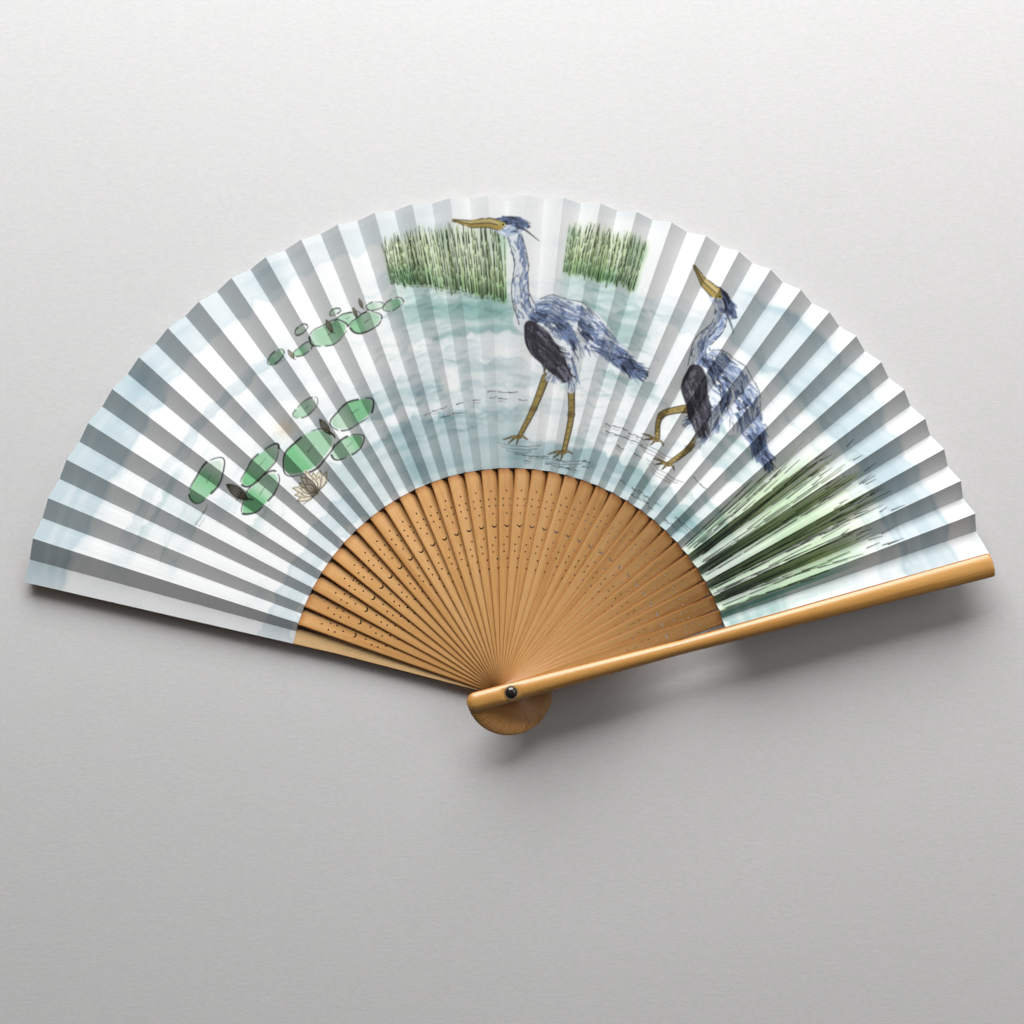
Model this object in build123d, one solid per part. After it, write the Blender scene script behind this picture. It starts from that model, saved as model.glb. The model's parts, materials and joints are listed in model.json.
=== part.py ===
"""A folding fan with 33 inner ribs: two guards, twisted perforated ribs, a riveted pivot and a pleated paper leaf.

Frame: millimetres, +Z up. The origin is on the pivot axis, at the outer (lower) face of the rear guard.
The fan lies open in the XY plane, +Y runs from the pivot to the middle of the leaf, and the front guard is at +X.
Every rib turns about the pivot axis, so each one is drawn along +X in its own frame and then turned to its place.
"""
from build123d import *
from math import atan, cos, degrees, hypot, radians, sin, sqrt, tan
import os

# ---- driving dimensions (mm, degrees) ----
RIB_COUNT = 33
LEAF_OUTER_RADIUS = 206.0
LEAF_INNER_RADIUS = 92.0
HEAD_REACH = 18.5  # from the pivot to the round end of every rib and guard

# azimuths at rest, measured from +X
REAR_GUARD_AZIMUTH = 165.8
FRONT_GUARD_AZIMUTH = 14.3
MIDDLE_RIB_AZIMUTH = 86.5
RIB_STEP = 4.372  # between neighbouring ribs at the middle of the fan
STEP_SPREAD = 0.013  # the pleats at the rear guard's end are opened wider than those at the front guard's
STEP_EVENING = 0.0002  # and the widest ones are at the very end

# guards
GUARD_THICKNESS = 2.5
GUARD_HEAD_WIDTH = 7.8
GUARD_WAIST_WIDTH = 5.9
GUARD_WAIST_RADIUS = 73.0
GUARD_TIP_WIDTH = 10.0
GUARD_EDGE_ROUNDING = 1.6
GUARD_TIP_ROUNDING = 1.2
GUARD_SPLAY = 2.6  # how far each tip leans away from the ribs, over the leaf's outer radius

# ribs
RIB_PITCH = 0.44  # height from one rib to the next at the pivot
RIB_THICKNESS = 0.40
RIB_WIDTH = 8.0
GUARD_GAP = 0.25  # free height between a guard and the rib next to it
TWIST_START = 14.0  # radius where the flat head ends and the twist begins
SHOULDER_START = 90.4  # radius where the slat narrows to its blade
SLAT_LEFT_EDGE = 2.6  # of the slat at the shoulder, from the rib's own line
SLAT_RIGHT_EDGE = -2.9
SLAT_END_THICKNESS = 0.28
SLAT_TILT_SHARE = 0.6  # a slat's slope at its shoulder, as a share of its panel's slope
BLADE_START = 91.6  # just clear of the leaf's inner edge
BLADE_END_RADIUS = 196.0
BLADE_WIDTH = 3.3
BLADE_THICKNESS = 0.18

# pleats
FOLD_OFFSET = 0.6  # the fold lines of a rib meet this far to the left of the pivot axis
MOUNTAIN_ANGLE = 1.245  # from the rib's own line to its mountain fold
PANEL_WIDTH = 9.35  # of the paper between two folds, at the outer radius
LEAF_HEIGHT = 0.42  # vertical thickness of the two plies with the blade between them
POCKET_CLEARANCE = 0.02
LEAF_END_MARGIN = 0.4  # from a guard's edge to the cut end of the leaf glued on it
RIBS_PER_SECTION = 2

# pivot
PIN_RADIUS = 1.5
PIN_CLEARANCE = 0.05
PIN_HEAD_RADIUS = 2.4
PIN_HEAD_HEIGHT = 1.1
WASHER_RADIUS = 2.9
WASHER_THICKNESS = 0.3
SEAT_RADIUS = 3.3
SEAT_DEPTH = 0.5

# perforations of each rib: round holes as (radius from the pivot, sideways offset), and one crescent
DOT_RADIUS = 0.42
DOT_SINGLES = (82.7, 73.3, 63.4, 54.5, 50.7)
DOT_PAIRS = (79.3, 76.5, 60.3, 57.5)
DOT_PAIR_OFFSET = 1.44
CRESCENT_PLACE = 68.5
CRESCENT_OUTER = 1.1
CRESCENT_INNER = 0.95
CRESCENT_SHIFT = 0.55

# ---- worked out from the above ----
FIRST_RIB_HEIGHT = GUARD_THICKNESS + GUARD_GAP + RIB_PITCH / 2
FRONT_INNER_FACE = FIRST_RIB_HEIGHT + RIB_PITCH * (RIB_COUNT - 1) + RIB_PITCH / 2 + GUARD_GAP
FRONT_OUTER_FACE = FRONT_INNER_FACE + GUARD_THICKNESS
SPLAY_SLOPE = GUARD_SPLAY / LEAF_OUTER_RADIUS
MOUNTAIN_TAN = tan(radians(MOUNTAIN_ANGLE))
MIDDLE_RIB = (RIB_COUNT + 1) / 2


def rib_azimuth(index):
    place = index - MIDDLE_RIB
    return MIDDLE_RIB_AZIMUTH - RIB_STEP * place + STEP_SPREAD * place**2 - STEP_EVENING * place**3


def rib_height(index):
    return FIRST_RIB_HEIGHT + RIB_PITCH * (index - 1)


def local_step(index):
    """Angle between neighbouring ribs near this one, in radians."""
    place = index - MIDDLE_RIB
    return radians(RIB_STEP - 2 * STEP_SPREAD * place + 3 * STEP_EVENING * place**2)


def pleat_height(index):
    """Height from a rib's valley to its mountain at the outer radius. A wider opened pleat is flatter."""
    half_pitch = local_step(index) * LEAF_OUTER_RADIUS / 2
    return sqrt(PANEL_WIDTH**2 - half_pitch**2) - RIB_PITCH / 2


def fold_slope(index):
    return pleat_height(index) / 2 / LEAF_OUTER_RADIUS


def valley_tan(index):
    """Direction of a rib's valley fold from the rib's own line."""
    flat_width = sqrt(PANEL_WIDTH**2 - pleat_height(index) ** 2)
    return tan(radians(MOUNTAIN_ANGLE) - flat_width / LEAF_OUTER_RADIUS)


def panel_tilt(index):
    """Slope of the panel glued on a rib, across the rib."""
    return 2 * fold_slope(index) / (MOUNTAIN_TAN - valley_tan(index))


def panel_middle(x, index):
    """Sideways place of the middle of a glued panel, at a distance x along its rib."""
    return FOLD_OFFSET + x * (MOUNTAIN_TAN + valley_tan(index)) / 2


def slab_section(x, middle, left, right, tilt_tan, thickness):
    """A thin rectangle across the rib at x. Its middle line crosses height 0 at `middle` and rises to the left."""
    length = hypot(1, tilt_tan)
    lift_y = -tilt_tan / length * thickness / 2
    lift_z = 1 / length * thickness / 2
    corners = []
    for y, side in ((left, 1), (right, 1), (right, -1), (left, -1)):
        z = (y - middle) * tilt_tan
        corners.append(Vector(x, y + side * lift_y, z + side * lift_z))
    return Face(Wire.make_polygon(corners, close=True))


def ruled_solid(first, last):
    return Solid.make_loft([first.outer_wire(), last.outer_wire()], ruled=True)


def blade_section(x, index, grow=0.0):
    tilt = panel_tilt(index)
    half = (BLADE_WIDTH / 2 + grow) / hypot(1, tilt)
    middle = panel_middle(x, index)
    return slab_section(x, middle, middle + half, middle - half, tilt, BLADE_THICKNESS + 2 * grow)


def blade(index, grow=0.0):
    root = blade_section(BLADE_START - grow, index, grow)
    return ruled_solid(root, blade_section(BLADE_END_RADIUS + grow, index, grow))


def perforations():
    """Cutters for the rows of dots and the crescent."""
    spots = [(x, 0) for x in DOT_SINGLES]
    for x in DOT_PAIRS:
        spots += [(x, -DOT_PAIR_OFFSET), (x, DOT_PAIR_OFFSET)]
    depth = 6.0
    cutters = [Pos(x, y, 0) * Cylinder(DOT_RADIUS, depth) for x, y in spots]
    moon = Cylinder(CRESCENT_OUTER, depth) - Pos(CRESCENT_SHIFT, 0, 0) * Cylinder(CRESCENT_INNER, 2 * depth)
    cutters.append(Pos(CRESCENT_PLACE, 0, 0) * moon)
    return cutters


def make_rib(index):
    """One inner rib along +X with its middle plane at height 0: flat head, twisted slat, shoulder, thin blade."""
    half = RIB_WIDTH / 2
    with BuildPart() as head:
        with BuildSketch(Plane.XY.offset(-RIB_THICKNESS / 2)):
            with BuildLine():
                Polyline((half - HEAD_REACH, half), (TWIST_START, half), (TWIST_START, -half), (half - HEAD_REACH, -half))
                ThreePointArc((half - HEAD_REACH, -half), (-HEAD_REACH, 0), (half - HEAD_REACH, half))
            make_face()
        extrude(amount=RIB_THICKNESS)
    slat_start = slab_section(TWIST_START, 0, half, -half, 0, RIB_THICKNESS)
    slat_end = slab_section(
        SHOULDER_START,
        panel_middle(SHOULDER_START, index),
        SLAT_LEFT_EDGE,
        SLAT_RIGHT_EDGE,
        SLAT_TILT_SHARE * panel_tilt(index),
        SLAT_END_THICKNESS,
    )
    slat = ruled_solid(slat_start, slat_end)
    shoulder = ruled_solid(slat_end, blade_section(BLADE_START, index))
    rib = head.part.solid().fuse(slat, shoulder, blade(index))
    pin_hole = Cylinder(PIN_RADIUS + PIN_CLEARANCE, 4 * RIB_THICKNESS)
    return rib.cut(pin_hole, *perforations())


def make_guard():
    """A guard along +X, outer face at height 0, inner face at its thickness, without its hole or seat."""
    head = GUARD_HEAD_WIDTH / 2
    waist = GUARD_WAIST_WIDTH / 2
    tip = GUARD_TIP_WIDTH / 2
    round_start = head - HEAD_REACH
    with BuildPart() as guard:
        with BuildSketch():
            with BuildLine():
                Polyline(
                    (round_start, head),
                    (0, head),
                    (GUARD_WAIST_RADIUS, waist),
                    (LEAF_OUTER_RADIUS, tip),
                    (LEAF_OUTER_RADIUS, -tip),
                    (GUARD_WAIST_RADIUS, -waist),
                    (0, -head),
                    (round_start, -head),
                )
                ThreePointArc((round_start, -head), (-HEAD_REACH, 0), (round_start, head))
            make_face()
        extrude(amount=GUARD_THICKNESS)
        tip_corners = guard.edges().filter_by(Axis.Z).sort_by(Axis.X)[-2:]
        fillet(tip_corners, GUARD_TIP_ROUNDING)
        fillet(guard.faces().sort_by(Axis.Z)[0].edges(), GUARD_EDGE_ROUNDING)
    return guard.part.solid()


def splayed(guard, inner_height, splay_angle):
    """Leans the guard about the point of its inner face that is on the pivot axis."""
    return Pos(0, 0, inner_height) * Rot(0, splay_angle, 0) * Pos(0, 0, -inner_height) * guard


def make_guards():
    """The rear guard below the ribs and the front guard above them, each with its pin hole and washer seat."""
    angle = degrees(atan(SPLAY_SLOPE))
    blank = make_guard()
    rear = splayed(blank, GUARD_THICKNESS, angle)
    rear -= Cylinder(PIN_RADIUS, 4 * GUARD_THICKNESS)
    rear -= Pos(0, 0, SEAT_DEPTH - GUARD_THICKNESS) * Cylinder(SEAT_RADIUS, 2 * GUARD_THICKNESS)
    upper = Pos(0, 0, FRONT_OUTER_FACE) * Rot(180, 0, 0) * blank
    front = splayed(upper, FRONT_INNER_FACE, -angle)
    front -= Pos(0, 0, FRONT_OUTER_FACE) * Cylinder(PIN_RADIUS + PIN_CLEARANCE, 4 * GUARD_THICKNESS)
    seat_middle = FRONT_OUTER_FACE - SEAT_DEPTH + GUARD_THICKNESS
    front -= Pos(0, 0, seat_middle) * Cylinder(SEAT_RADIUS, 2 * GUARD_THICKNESS)
    return Rot(0, 0, REAR_GUARD_AZIMUTH) * rear, Rot(0, 0, FRONT_GUARD_AZIMUTH) * front


def domed_head(seat, side):
    """Arc of a pin head, from its rim on the washer up to its top on the axis. side is 1 above, -1 below."""
    sphere = (PIN_HEAD_RADIUS**2 + PIN_HEAD_HEIGHT**2) / (2 * PIN_HEAD_HEIGHT)
    middle_radius = PIN_HEAD_RADIUS / 2
    middle_rise = sqrt(sphere**2 - middle_radius**2) - (sphere - PIN_HEAD_HEIGHT)
    rim = (PIN_HEAD_RADIUS, seat)
    top = (0, seat + side * PIN_HEAD_HEIGHT)
    return ThreePointArc(rim, (middle_radius, seat + side * middle_rise), top)


def make_pin():
    """The pivot pin with a domed head formed at each end."""
    rear_seat = SEAT_DEPTH - WASHER_THICKNESS
    front_seat = FRONT_OUTER_FACE - SEAT_DEPTH + WASHER_THICKNESS
    with BuildPart() as pin:
        with BuildSketch(Plane.XZ):
            with BuildLine():
                domed_head(rear_seat, -1)
                Polyline(
                    (PIN_HEAD_RADIUS, rear_seat),
                    (PIN_RADIUS, rear_seat),
                    (PIN_RADIUS, front_seat),
                    (PIN_HEAD_RADIUS, front_seat),
                )
                domed_head(front_seat, 1)
                Line((0, front_seat + PIN_HEAD_HEIGHT), (0, rear_seat - PIN_HEAD_HEIGHT))
            make_face()
        revolve(axis=Axis.Z)
    return pin.part.solid()


def make_washer(lower_face):
    ring = Cylinder(WASHER_RADIUS, WASHER_THICKNESS) - Cylinder(PIN_RADIUS, 2 * WASHER_THICKNESS)
    return Pos(0, 0, lower_face + WASHER_THICKNESS / 2) * ring


# ---- the pleated leaf ----
def fold_line(azimuth, height, offset, side_tan, slope):
    """The two ends of a fold, at the leaf's inner and outer radius. It starts beside the pivot axis."""
    ends = []
    for radius in (LEAF_INNER_RADIUS, LEAF_OUTER_RADIUS):
        a = 1 + side_tan**2
        b = offset * side_tan
        x = (-b + sqrt(b * b - a * (offset**2 - radius**2))) / a
        y = offset + side_tan * x
        turn = radians(azimuth)
        ends.append((x * cos(turn) - y * sin(turn), x * sin(turn) + y * cos(turn), height + slope * x))
    return ends


def mountain(index):
    return fold_line(rib_azimuth(index), rib_height(index), FOLD_OFFSET, MOUNTAIN_TAN, fold_slope(index))


def valley(index):
    return fold_line(rib_azimuth(index), rib_height(index), FOLD_OFFSET, valley_tan(index), -fold_slope(index))


def guard_side_tan(side):
    """Direction of a line that stays just inside one long edge of a guard over the leaf."""
    return side * (GUARD_TIP_WIDTH / 2 - LEAF_END_MARGIN) / LEAF_OUTER_RADIUS


def rear_guard_line(side):
    height = GUARD_THICKNESS + LEAF_HEIGHT / 2
    return fold_line(REAR_GUARD_AZIMUTH, height, 0, guard_side_tan(side), -SPLAY_SLOPE)


def front_guard_line(side):
    height = FRONT_INNER_FACE - LEAF_HEIGHT / 2
    return fold_line(FRONT_GUARD_AZIMUTH, height, 0, guard_side_tan(side), SPLAY_SLOPE)


def flat_triangle(a, b, c):
    return Face(Wire.make_polygon([Vector(*a), Vector(*b), Vector(*c)], close=True))


def flat_pair(a, b, c, d):
    """A four-cornered patch as two flat triangles."""
    return [flat_triangle(a, b, c), flat_triangle(a, c, d)]


def leaf_section(lines, rib_indices):
    """A closed zigzag sheet over the given fold lines, with a pocket for the blade of each rib."""
    upper = [[(x, y, z + LEAF_HEIGHT / 2) for x, y, z in ends] for ends in lines]
    lower = [[(x, y, z - LEAF_HEIGHT / 2) for x, y, z in ends] for ends in lines]
    faces = []
    for k in range(len(lines) - 1):
        inner_a, outer_a = upper[k]
        inner_b, outer_b = upper[k + 1]
        under_inner_a, under_outer_a = lower[k]
        under_inner_b, under_outer_b = lower[k + 1]
        faces += flat_pair(inner_a, outer_a, outer_b, inner_b)
        faces += flat_pair(under_inner_a, under_inner_b, under_outer_b, under_outer_a)
        faces += flat_pair(inner_a, inner_b, under_inner_b, under_inner_a)
        faces += flat_pair(outer_a, under_outer_a, under_outer_b, outer_b)
    for k in (0, -1):
        faces += flat_pair(upper[k][0], lower[k][0], lower[k][1], upper[k][1])
    sheet = Solid(Shell(faces))
    for index in rib_indices:
        sheet = sheet.cut(placed_rib(blade(index, POCKET_CLEARANCE), index))
    return sheet


def placed_rib(shape, index):
    return Pos(0, 0, rib_height(index)) * Rot(0, 0, rib_azimuth(index)) * shape


def make_leaf():
    """The leaf, cut along mountain folds into sections that can each ride on one rib or guard."""
    sections = {"leaf_rear_end": leaf_section([rear_guard_line(1), rear_guard_line(-1), mountain(1)], [])}
    number = 1
    for first in range(1, RIB_COUNT - 1, RIBS_PER_SECTION):
        ribs = range(first, first + RIBS_PER_SECTION)
        lines = []
        for index in ribs:
            lines += [mountain(index), valley(index)]
        lines.append(mountain(first + RIBS_PER_SECTION))
        sections[f"leaf_section_{number:02d}"] = leaf_section(lines, ribs)
        number += 1
    last = [mountain(RIB_COUNT), valley(RIB_COUNT), front_guard_line(1), front_guard_line(-1)]
    sections["leaf_front_end"] = leaf_section(last, [RIB_COUNT])
    return sections


def main():
    os.makedirs("parts", exist_ok=True)
    rear_guard, front_guard = make_guards()
    nodes = {"rear_guard": rear_guard, "front_guard": front_guard}
    for index in range(1, RIB_COUNT + 1):
        nodes[f"rib_{index:02d}"] = placed_rib(make_rib(index), index)
    nodes["pivot_pin"] = make_pin()
    nodes["rear_washer"] = make_washer(SEAT_DEPTH - WASHER_THICKNESS)
    nodes["front_washer"] = make_washer(FRONT_OUTER_FACE - SEAT_DEPTH)
    nodes.update(make_leaf())
    for name, shape in nodes.items():
        export_step(shape, f"parts/{name}.step")


main()
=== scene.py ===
"""Looks of the folding fan: painted pleated leaf, pierced bamboo ribs, polished guards and a dark rivet."""
import bpy
import json
import math
import numpy as np
from mathutils import Matrix, Vector
from mathutils.geometry import delaunay_2d_cdt


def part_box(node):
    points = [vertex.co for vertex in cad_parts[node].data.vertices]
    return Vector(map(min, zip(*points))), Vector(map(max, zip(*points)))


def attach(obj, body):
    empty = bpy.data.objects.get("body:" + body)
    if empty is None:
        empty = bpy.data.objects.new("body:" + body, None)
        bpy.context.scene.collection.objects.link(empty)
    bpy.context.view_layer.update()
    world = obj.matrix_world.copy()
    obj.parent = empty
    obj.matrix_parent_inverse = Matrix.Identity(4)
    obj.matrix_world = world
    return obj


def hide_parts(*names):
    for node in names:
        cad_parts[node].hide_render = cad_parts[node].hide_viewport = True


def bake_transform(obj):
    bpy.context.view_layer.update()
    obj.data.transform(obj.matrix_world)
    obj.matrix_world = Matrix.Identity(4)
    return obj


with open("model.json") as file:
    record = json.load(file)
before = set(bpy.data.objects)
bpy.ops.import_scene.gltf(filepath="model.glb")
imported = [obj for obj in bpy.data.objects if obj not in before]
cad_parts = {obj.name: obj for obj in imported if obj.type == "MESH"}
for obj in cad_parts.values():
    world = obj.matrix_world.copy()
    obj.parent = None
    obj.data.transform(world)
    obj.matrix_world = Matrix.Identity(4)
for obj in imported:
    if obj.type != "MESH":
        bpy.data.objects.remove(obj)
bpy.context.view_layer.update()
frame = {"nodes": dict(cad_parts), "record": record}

MM = 0.001
SEED = 12

# ---------------------------------------------------------------- the fan's geometry, in millimetres
REAR_AZIMUTH = 165.8
LEAF_OUTER = 206.0
LEAF_INNER = 92.0
HEAD_REACH = 18.5
GUARD_THICKNESS = 2.5
GUARD_GAP = 0.25
RIB_PITCH = 0.44
RIB_THICKNESS = 0.40
RIB_HALF_WIDTH = 4.0
TWIST_START = 14.0
SLAT_END = 90.4
SLAT_LEFT, SLAT_RIGHT = 2.6, -2.9
SLAT_TILT_SHARE = 0.6
SLAT_END_THICKNESS = 0.28
SLAT_HALF = 3.45
NECK_START = 91.5  # the slat begins to turn into its panel's plane
SHOULDER_START, SHOULDER_END = 91.85, 92.15
BLADE_WIDTH = 3.3
BLADE_THICKNESS = 0.18
BLADE_END = 196.0
FOLD_OFFSET = 0.6
MOUNTAIN_TAN = math.tan(math.radians(1.245))
PANEL_WIDTH = 9.35
GUARD_SPLAY = 2.6
GUARD_HEAD_HALF, GUARD_WAIST_HALF, GUARD_TIP_HALF = 3.9, 2.95, 5.0
GUARD_WAIST_RADIUS = 73.0
GUARD_INNER_EDGE_HALF = 3.24  # at the leaf's inner edge
SPLAY = GUARD_SPLAY / LEAF_OUTER
TIP_ROUND = 1.2  # radius of the corners at a guard's outer end
EDGE_STEPS = (0.18, 0.45, 0.85)  # from a rib's edge inwards, over its rounded edge
EDGE_ROUND = 0.85
GUARD_EDGE_DEPTH = 0.55  # the guard's thickness at its side edges
PIN_RADIUS = 1.5
PIN_CLEARANCE = 0.05
SEAT_DEPTH, SEAT_RADIUS = 0.5, 3.35  # the flat that a washer lies on
PAPER_LIFT = 0.11  # the painted face stands this far above a panel's middle plane
PAPER_THICKNESS = 0.11
PLY_RELIEF = 0.045  # how far a ply stands up over the blade it covers
FRONT_SEAT = 0.18  # how deep the leaf's end is let into the front guard
LEAF_MARGIN = 0.4
FLOOR_CLEARANCE = 0.3  # between the lowest folds and the table
EDGE_SHADE_START, EDGE_SHADE_END = 74, 91  # the painted shade along the ribs' edges gets broader between these distances

behaviour = frame["record"]["behaviour"]
front_hinge = next(joint for joint in behaviour["joints"] if joint["name"] == "front_guard_hinge")
TOTAL_TURN = front_hinge["range_deg"][1]
RATIO = {c["joint"].removesuffix("_hinge"): c["ratio"] for c in behaviour["couplings"]}
RIB_COUNT = len(RATIO)
FRONT_AZIMUTH = REAR_AZIMUTH - TOTAL_TURN
FIRST_HEIGHT = GUARD_THICKNESS + GUARD_GAP + RIB_PITCH / 2
FRONT_INNER = FIRST_HEIGHT + RIB_PITCH * (RIB_COUNT - 1) + RIB_PITCH / 2 + GUARD_GAP


def unit(vector):
    return vector / np.linalg.norm(vector)


def rib_name(index):
    return f"rib_{index:02d}"


def rib_azimuth(index):
    return REAR_AZIMUTH - RATIO[rib_name(index)] * TOTAL_TURN


def rib_height(index):
    return FIRST_HEIGHT + RIB_PITCH * (index - 1)


def local_step(index):
    """Angle between neighbouring ribs near this one, in radians."""
    low, high = max(1, index - 1), min(RIB_COUNT, index + 1)
    return math.radians(rib_azimuth(low) - rib_azimuth(high)) / (high - low)


def pleat_height(index):
    """Valley to mountain at the outer edge: a pleat that is opened wider is flatter."""
    return math.sqrt(PANEL_WIDTH**2 - (local_step(index) * LEAF_OUTER / 2) ** 2) - RIB_PITCH / 2


def fold_slope(index):
    return pleat_height(index) / 2 / LEAF_OUTER


def valley_tan(index):
    flat = math.sqrt(PANEL_WIDTH**2 - pleat_height(index) ** 2)
    return math.tan(math.atan(MOUNTAIN_TAN) - flat / LEAF_OUTER)


def panel_tilt(index):
    return 2 * fold_slope(index) / (MOUNTAIN_TAN - valley_tan(index))


def panel_middle(x, index):
    return FOLD_OFFSET + x * (MOUNTAIN_TAN + valley_tan(index)) / 2


def turned(points, azimuth, height=0.0):
    """Points drawn along a rib, x outwards, turned to its place. Millimetres in, metres out."""
    points = np.asarray(points, float).reshape(-1, 3)
    c, s = math.cos(math.radians(azimuth)), math.sin(math.radians(azimuth))
    x = points[:, 0] * c - points[:, 1] * s
    y = points[:, 0] * s + points[:, 1] * c
    return np.stack([x, y, points[:, 2] + height], 1) * MM


class Fold:
    """A straight fold line on a rib or guard, as a point on it near the pivot axis and its two ends."""

    def __init__(self, azimuth, height, offset, side_tan, slope):
        ends = []
        for radius in (LEAF_INNER, LEAF_OUTER):
            a = 1 + side_tan**2
            b = offset * side_tan
            x = (-b + math.sqrt(b * b - a * (offset**2 - radius**2))) / a
            ends.append((x, offset + side_tan * x, slope * x))
        self.start = turned([(0, offset, 0)], azimuth, height)[0]
        self.inner, self.outer = turned(ends, azimuth, height)

    def along(self, share):
        share = np.asarray(share, float)[..., None]
        return self.inner * (1 - share) + self.outer * share

    def direction(self):
        return unit(self.outer - self.inner)


def rib_fold(index, side_tan, slope):
    return Fold(rib_azimuth(index), rib_height(index) + PAPER_LIFT, FOLD_OFFSET, side_tan, slope)


def mountain(index):
    return rib_fold(index, MOUNTAIN_TAN, fold_slope(index))


def valley(index):
    return rib_fold(index, valley_tan(index), -fold_slope(index))


GUARD_SIDE_TAN = (GUARD_TIP_HALF - LEAF_MARGIN) / LEAF_OUTER


def rear_line(side):
    """Side lines of the panel glued on the rear guard. The outer one (side 1) follows the guard's edge."""
    height = GUARD_THICKNESS + 2 * PAPER_LIFT
    if side > 0:
        tan = (GUARD_TIP_HALF - GUARD_INNER_EDGE_HALF) / (LEAF_OUTER - LEAF_INNER)
        return Fold(REAR_AZIMUTH, height, GUARD_TIP_HALF - tan * LEAF_OUTER, tan, -SPLAY)
    return Fold(REAR_AZIMUTH, height, 0, -GUARD_SIDE_TAN, -SPLAY)


def front_line(side):
    """Side lines of the panel glued on the front guard, which is let into the guard's inner face."""
    return Fold(FRONT_AZIMUTH, FRONT_INNER + FRONT_SEAT, 0, side * GUARD_SIDE_TAN, SPLAY)


# ---------------------------------------------------------------- small mesh helpers
def new_object(name, vertices, faces, smooth_angle=None):
    mesh = bpy.data.meshes.new(name)
    mesh.from_pydata([tuple(v) for v in vertices], [], faces)
    mesh.validate()
    if smooth_angle is not None:
        mesh.shade_smooth()
        mesh.set_sharp_from_angle(angle=math.radians(smooth_angle))
    mesh.update()
    piece = bpy.data.objects.new(name, mesh)
    bpy.context.scene.collection.objects.link(piece)
    return piece


def set_vector_attribute(mesh, name, values):
    attribute = mesh.attributes.new(name, "FLOAT_VECTOR", "POINT")
    attribute.data.foreach_set("vector", np.asarray(values, np.float32).ravel())


def set_colour_attribute(mesh, name, colours):
    rgba = np.ones((len(colours), 4), np.float32)
    rgba[:, :3] = colours
    attribute = mesh.color_attributes.new(name, "FLOAT_COLOR", "POINT")
    attribute.data.foreach_set("color", rgba.ravel())


def grid_faces(rows, columns, first=0, flip=False):
    faces = []
    for r in range(rows - 1):
        for c in range(columns - 1):
            a = first + r * columns + c
            quad = (a, a + 1, a + columns + 1, a + columns)
            faces.append(quad[::-1] if flip else quad)
    return faces


# ---------------------------------------------------------------- material helpers
class Nodes:
    """Short way to write a node tree."""

    def __init__(self, name):
        self.material = bpy.data.materials.new(name)
        self.material.use_nodes = True
        self.tree = self.material.node_tree
        self.tree.nodes.clear()
        self.shader = self.add("ShaderNodeBsdfPrincipled")
        output = self.add("ShaderNodeOutputMaterial")
        self.link(self.shader.outputs[0], output.inputs[0])

    def add(self, kind, **settings):
        node = self.tree.nodes.new(kind)
        for key, value in settings.items():
            setattr(node, key, value)
        return node

    def link(self, a, b):
        self.tree.links.new(a, b)

    def put(self, socket, value):
        """Links a socket, or sets a plain value."""
        if isinstance(value, bpy.types.NodeSocket):
            self.link(value, socket)
        else:
            socket.default_value = value

    def attribute(self, name):
        return self.add("ShaderNodeAttribute", attribute_name=name)

    def noise(self, vector, scale, detail, roughness=0.55, distortion=0.0):
        """Noise with its own scale along each axis."""
        mapping = self.add("ShaderNodeMapping")
        self.link(vector, mapping.inputs["Vector"])
        mapping.inputs["Scale"].default_value = scale
        node = self.add("ShaderNodeTexNoise")
        self.link(mapping.outputs[0], node.inputs["Vector"])
        settings = {"Scale": 1.0, "Detail": detail, "Roughness": roughness, "Distortion": distortion}
        for key, value in settings.items():
            node.inputs[key].default_value = value
        return node.outputs["Fac"]

    def math(self, operation, a, b):
        node = self.add("ShaderNodeMath", operation=operation)
        self.put(node.inputs[0], a)
        self.put(node.inputs[1], b)
        return node.outputs[0]

    def ramp(self, fac, stops):
        node = self.add("ShaderNodeValToRGB")
        self.link(fac, node.inputs[0])
        elements = node.color_ramp.elements
        while len(elements) < len(stops):
            elements.new(0.5)
        for element, (place, colour) in zip(elements, stops):
            element.position = place
            element.color = (*colour, 1)
        return node.outputs[0]

    def mix(self, kind, fac, a, b):
        node = self.add("ShaderNodeMix", data_type="RGBA", blend_type=kind)
        self.put(node.inputs[0], fac)
        for socket, value in ((node.inputs[6], a), (node.inputs[7], b)):
            self.put(socket, (*value, 1) if isinstance(value, tuple) else value)
        return node.outputs[2]

    def bump(self, height, strength, distance):
        node = self.add("ShaderNodeBump")
        self.link(height, node.inputs["Height"])
        node.inputs["Strength"].default_value = strength
        node.inputs["Distance"].default_value = distance
        self.link(node.outputs[0], self.shader.inputs["Normal"])

    def finish(self, colour, roughness, specular=0.5, coat=0.0, coat_roughness=0.1):
        inputs = self.shader.inputs
        self.put(inputs["Base Color"], (*colour, 1) if isinstance(colour, tuple) else colour)
        self.put(inputs["Roughness"], roughness)
        inputs["Specular IOR Level"].default_value = specular
        inputs["Coat Weight"].default_value = coat
        inputs["Coat Roughness"].default_value = coat_roughness
        return self.material


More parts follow.
